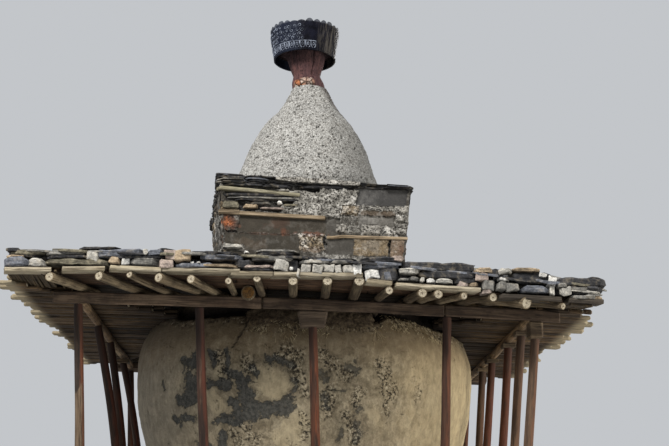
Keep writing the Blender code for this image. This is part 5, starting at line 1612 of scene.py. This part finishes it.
# Trunk and collar
# One flared timber carries the crown. It was painted red, has split down its length and is stained dark
# at the top. Rough orange-brown and white stones are packed against its foot at the front left.
TRUNK_FOOT = 7.2903
TRUNK_TOP = 7.87
TRUNK_PROFILE = ((7.29, 0.19), (7.39, 0.19), (7.49, 0.165), (7.63, 0.204), (7.77, 0.243), (7.82, 0.366),
                 (7.87, 0.370))
bm = turned([(read_off(TRUNK_PROFILE, height), height) for height in spaced(TRUNK_FOOT, TRUNK_TOP, 80)], 240)
grain = bm.verts.layers.float_vector.new("grain")
for vert in bm.verts:
    share = min(1.0, (vert.co.z - CONE_TOP) / 0.53)
    bearing = atan2(vert.co.x, -vert.co.y)
    outward = Vector((vert.co.x, vert.co.y, 0))
    vert[grain] = (outward.x, outward.y, vert.co.z + 3.0)
    if outward.length > 0.1 and vert.co.z < 7.80:
        outward.normalize()
        split = exp(-((bearing - 0.42 + 0.10 * noise.noise(vert.co * 6)) / 0.035) ** 2)
        split += 0.5 * exp(-((bearing + 0.55 + 0.12 * noise.noise(vert.co * 5)) / 0.022) ** 2)
        push = -0.018 * split - 0.003
        push += 0.006 * wobble(vert.co.x * 26, vert.co.y * 26, vert.co.z * 2)
        vert.co += outward * push
    vert.co.x += 0.030 - 0.045 * share
    rightward = share_of(vert.co.x / 0.12)
    vert.co.x += rightward * (0.045 * max(0.0, (7.47 - vert.co.z) / 0.18) + 0.025 * min(1.0, share * 1.4))
trunk_wood, tree, shader, where = new_material("trunk_wood", 0.85)
skin = laid(tree, timber_grain, {"Grain": carried(tree, "grain"), "Pale": (96, 66, 63),
                                 "Brown": (74, 51, 51), "Dark": (44, 30, 32)})
high = axes(where)[2]
ragged = mottled(stretched(where, (20, 20, 3)), 1.0, 5.0, 0.65)
stain = ranged(plus(high, times(ragged, 0.30)), 7.70, 7.92, 0.0, 0.75)
coat = over(skin["Colour"], stain, 34, 24, 28)
surfaced(tree, shader, coat, skin["Height"], 0.012)
piece("trunk_timber", bm, [trunk_wood], ["trunk"], 60)
PEACH = linear(158, 100, 66)
ROSE = linear(140, 104, 88)
CHALK = linear(164, 146, 134)
DULL = linear(52, 38, 32)
bm = bmesh.new()
bmesh.ops.create_uvsphere(bm, u_segments=72, v_segments=110, radius=1.0)
tint = bm.verts.layers.float_color.new("tint")
for vert in bm.verts:
    along = vert.co.z
    girth = sqrt(max(0.0, 1 - abs(along) ** 4)) / sqrt(max(0.02, 1 - along ** 2))
    thick, high = vert.co.x * girth, vert.co.y * girth
    bearing = radians(252 + 52 * along)
    outward = Vector((cos(bearing), sin(bearing), 0))
    place = Vector((0.030, 0, 7.345 + 0.006 * along)) + outward * (0.152 + 0.062 * thick)
    place.z += 0.072 * high
    spans, cores = noise.voronoi(place / 0.062)
    crease = min(1.0, (spans[1] - spans[0]) / 0.26)
    place += (outward * thick + Vector((0, 0, high))) * 0.018 * (crease - 0.6)
    pick = 0.5 + 0.9 * noise.noise(cores[0] * 3.7)
    colour = PEACH if pick < 0.42 else ROSE if pick < 0.62 else CHALK
    share = share_of((along + 0.05) / 0.5)
    colour = [a + (b - a) * share for a, b in zip(colour, CHALK if pick < 0.6 else ROSE)]
    colour = [b + (a - b) * crease for a, b in zip(colour, DULL)]
    vert[tint] = (*colour[:3], 1.0)
    vert.co = place
collar_stone = stone_finish("collar_stone", 20.0, 0.2, 0.010)
piece("collar_stones", bm, [collar_stone], ["collar"])

# Crown
# A hoop of dark embossed metal, hung round the trunk's head: a rolled foot, a frieze of petals under a
# bead, scrolls beaten up on its left front, and a rim cut in uneven scallops. It is tarnished blue-black.
# Its left side and its raised relief are painted lighter as painted light and highlights, and the
# grey-brown streaks down its right are partly streaking and partly painted light.
CROWN_FOOT = 7.70
CROWN_RADIUS = 0.379
CROWN_STEPS = 560
SCALLOPS = 28
CROWN_HEIGHT = 0.36
CROWN_FLARE = 0.156
CROWN_SHIFT = -0.008
METAL_THICKNESS = 0.008
outer = [(0.007, 0.0), (0.010, 0.004), (0.010, 0.010), (0.007, 0.014)]
outer += [(0.0, 0.014 + 0.346 * i / 64) for i in range(1, 65)]
section = [(-METAL_THICKNESS, CROWN_HEIGHT - CROWN_HEIGHT * i / 12) for i in range(13)] + outer
bm = bmesh.new()
verts = [bm.verts.new((CROWN_RADIUS + CROWN_FLARE * rise + out, 0, rise)) for out, rise in section]
edges = [bm.edges.new((a, b)) for a, b in zip(verts, verts[1:] + verts[:1])]
bmesh.ops.spin(bm, geom=verts + edges, cent=(0, 0, 0), axis=(0, 0, 1), dvec=(0, 0, 0), angle=2 * pi,
               steps=CROWN_STEPS, use_merge=True, use_duplicate=False)
chance = random.Random(150)
scrolls = []
for row in range(4):
    for col in range(16):
        scrolls.append((-0.90 + 0.062 * col + 0.030 * (row % 2) + chance.uniform(-0.014, 0.014),
                        0.148 + 0.052 * row + chance.uniform(-0.010, 0.010), chance.choice((-1, 1)),
                        chance.uniform(0, 1), chance.uniform(0.026, 0.040)))


def scroll_height(across, rise):
    """Height of the curling leaves, from 0 to 1, at a place on the hoop."""
    best = 0.0
    for x, z, hand, start, size in scrolls:
        reach = hypot(across - x, rise - z)
        if reach < size:
            phase = (reach / 0.021 + hand * atan2(rise - z, across - x) / (2 * pi) + start) % 1.0
            best = max(best, exp(-((phase - 0.5) / 0.20) ** 2) * (1 - (reach / size) ** 4))
    return best


def petal_height(across, rise):
    """Height of the frieze of pointed petals, from 0 to 1."""
    place = (across / 0.070) % 1.0 * 2 - 1
    depth = (0.106 - rise) / 0.080
    if not 0 < depth < 1:
        return 0.0
    border = abs(place) - 0.86 * sqrt(1 - depth ** 3)
    inner = hypot(place * 1.5, (depth - 0.36) * 2.2)
    return max(exp(-(border / 0.17) ** 2), 0.8 * exp(-((inner - 0.45) / 0.20) ** 2))


ornament = bm.verts.layers.float_vector.new("ornament")
for vert in bm.verts:
    outward = Vector((vert.co.x, vert.co.y, 0))
    radius = outward.length
    outward.normalize()
    rise = vert.co.z
    bearing = atan2(vert.co.x, -vert.co.y)
    across = bearing * 0.40
    outside = radius > CROWN_RADIUS + CROWN_FLARE * rise - METAL_THICKNESS / 2
    if outside and bearing < 0.45:
        shown = share_of((0.02 - bearing) / 0.12) * share_of((bearing + 2.2) / 0.2)
        lower = share_of((0.38 - bearing) / 0.06) * share_of((bearing + 2.2) / 0.2)
        curls = scroll_height(across, rise) * shown if 0.125 < rise < 0.335 else 0.0
        petals = petal_height(across, rise) * lower
        bead = exp(-((rise - 0.114) / 0.0055) ** 2) * lower
        vert.co += outward * (0.013 * curls + 0.010 * petals + 0.012 * bead)
        vert[ornament] = (curls, petals, bead)
    lobe = abs(sin(bearing * SCALLOPS / 2 + 0.5 * wobble(bearing * 2, 1, 1)))
    tall = 0.7 + 1.1 * wobble(int((bearing + pi) * SCALLOPS / (2 * pi)) * 3.7, 0.5, 2.0)
    vert.co += outward * 0.003 * lumps(vert.co, 0.07, 2.0)
    vert.co.z += max(0.0, (rise - 0.26) / 0.10) ** 2 * min(0.042, 0.048 * tall * lobe ** 0.8)
    vert.co.z += CROWN_FOOT
    vert.co.x += CROWN_SHIFT
crown_metal, tree, shader, where = new_material("crown_metal", 0.55)
shader.inputs["Metallic"].default_value = 0.10
shader.inputs["Specular IOR Level"].default_value = 0.07
marks = axes(carried(tree, "ornament"))
tarnish = mottled(where, 9.0, 6.0, 0.65)
sides = axes(where)
coat = blended(ranged(tarnish, 0.35, 0.65), linear(7, 7, 13), linear(17, 18, 29))
# Painted light: the hoop's left side is lightened to blue-grey.
lit_left_share = ranged(plus(sides[0], times(tarnish, 0.1)), 0.02, -0.10)
coat = over(coat, times(lit_left_share, 0.5), 36, 42, 57)
# Painted highlights: the raised scrolls, petals and bead are lightened to pale blue-grey.
raised = worked('MAXIMUM', marks[0], worked('MAXIMUM', marks[1], marks[2]))
raised = ranged(raised, 0.30, 0.75, 0.0, 0.90)
raised = times(raised, ranged(mottled(where, 17.0, 3.0), 0.36, 0.56, 0.30, 1.0))
coat = over(coat, raised, 136, 144, 158)
# Grey-brown streaks down the right side, partly streaking on the metal and partly painted light from the
# right.
streaks = mottled(stretched(where, (34, 34, 1.6)), 1.0, 5.0, 0.6)
streak_side = ranged(plus(sides[0], times(streaks, 0.30)), 0.24, 0.52)
dusty = times(ranged(streaks, 0.42, 0.60, 0.05, 1.0), streak_side)
coat = over(coat, times(dusty, 0.62), 92, 87, 80)
worn = ranged(plus(sides[2], times(tarnish, 0.04)), 8.075, 8.10, 0.0, 0.35)
coat = over(coat, worn, 120, 124, 132)
surfaced(tree, shader, coat, mottled(where, 60.0, 4.0, 0.6), 0.003, ranged(tarnish, 0.3, 0.7, 0.42, 0.62))
piece("crown_hoop", bm, [crown_metal], ["crown"], 50)

# Floor and light
# A plain pale floor and soft studio light, with the key high at the front left.
bm = bmesh.new()
bmesh.ops.create_grid(bm, x_segments=1, y_segments=1, size=40)
mesh = bpy.data.meshes.new("floor")
bm.to_mesh(mesh)
bm.free()
floor = bpy.data.objects.new("floor", mesh)
floor_paint = bpy.data.materials.new("floor_paint")
floor_paint.use_nodes = True
floor_paint.node_tree.nodes["Principled BSDF"].inputs["Base Color"].default_value = (0.50, 0.50, 0.50, 1)
floor_paint.node_tree.nodes["Principled BSDF"].inputs["Roughness"].default_value = 0.9
mesh.materials.append(floor_paint)
bpy.context.collection.objects.link(floor)
world = bpy.data.worlds.new("studio")
world.use_nodes = True
world.node_tree.nodes["Background"].inputs["Color"].default_value = (0.88, 0.91, 0.95, 1)
world.node_tree.nodes["Background"].inputs["Strength"].default_value = 0.62
bpy.context.scene.world = world
for name, place, power, size, colour in (("key", (-7, -13, 15), 3800, 4, (1.0, 0.97, 0.93)),
                                         ("wall bounce", (11, -4, 3.0), 900, 5, (1.0, 0.95, 0.86)),
                                         ("rim", (4, 12, 13), 900, 6, (1.0, 1.0, 1.0))):
    lamp = bpy.data.lights.new(name, 'AREA')
    lamp.energy = power
    lamp.size = size
    lamp.color = colour
    light = bpy.data.objects.new(name, lamp)
    light.location = place
    light.rotation_euler = (Vector((0, 0, 4.5)) - Vector(place)).to_track_quat('-Z', 'Y').to_euler()
    bpy.context.collection.objects.link(light)
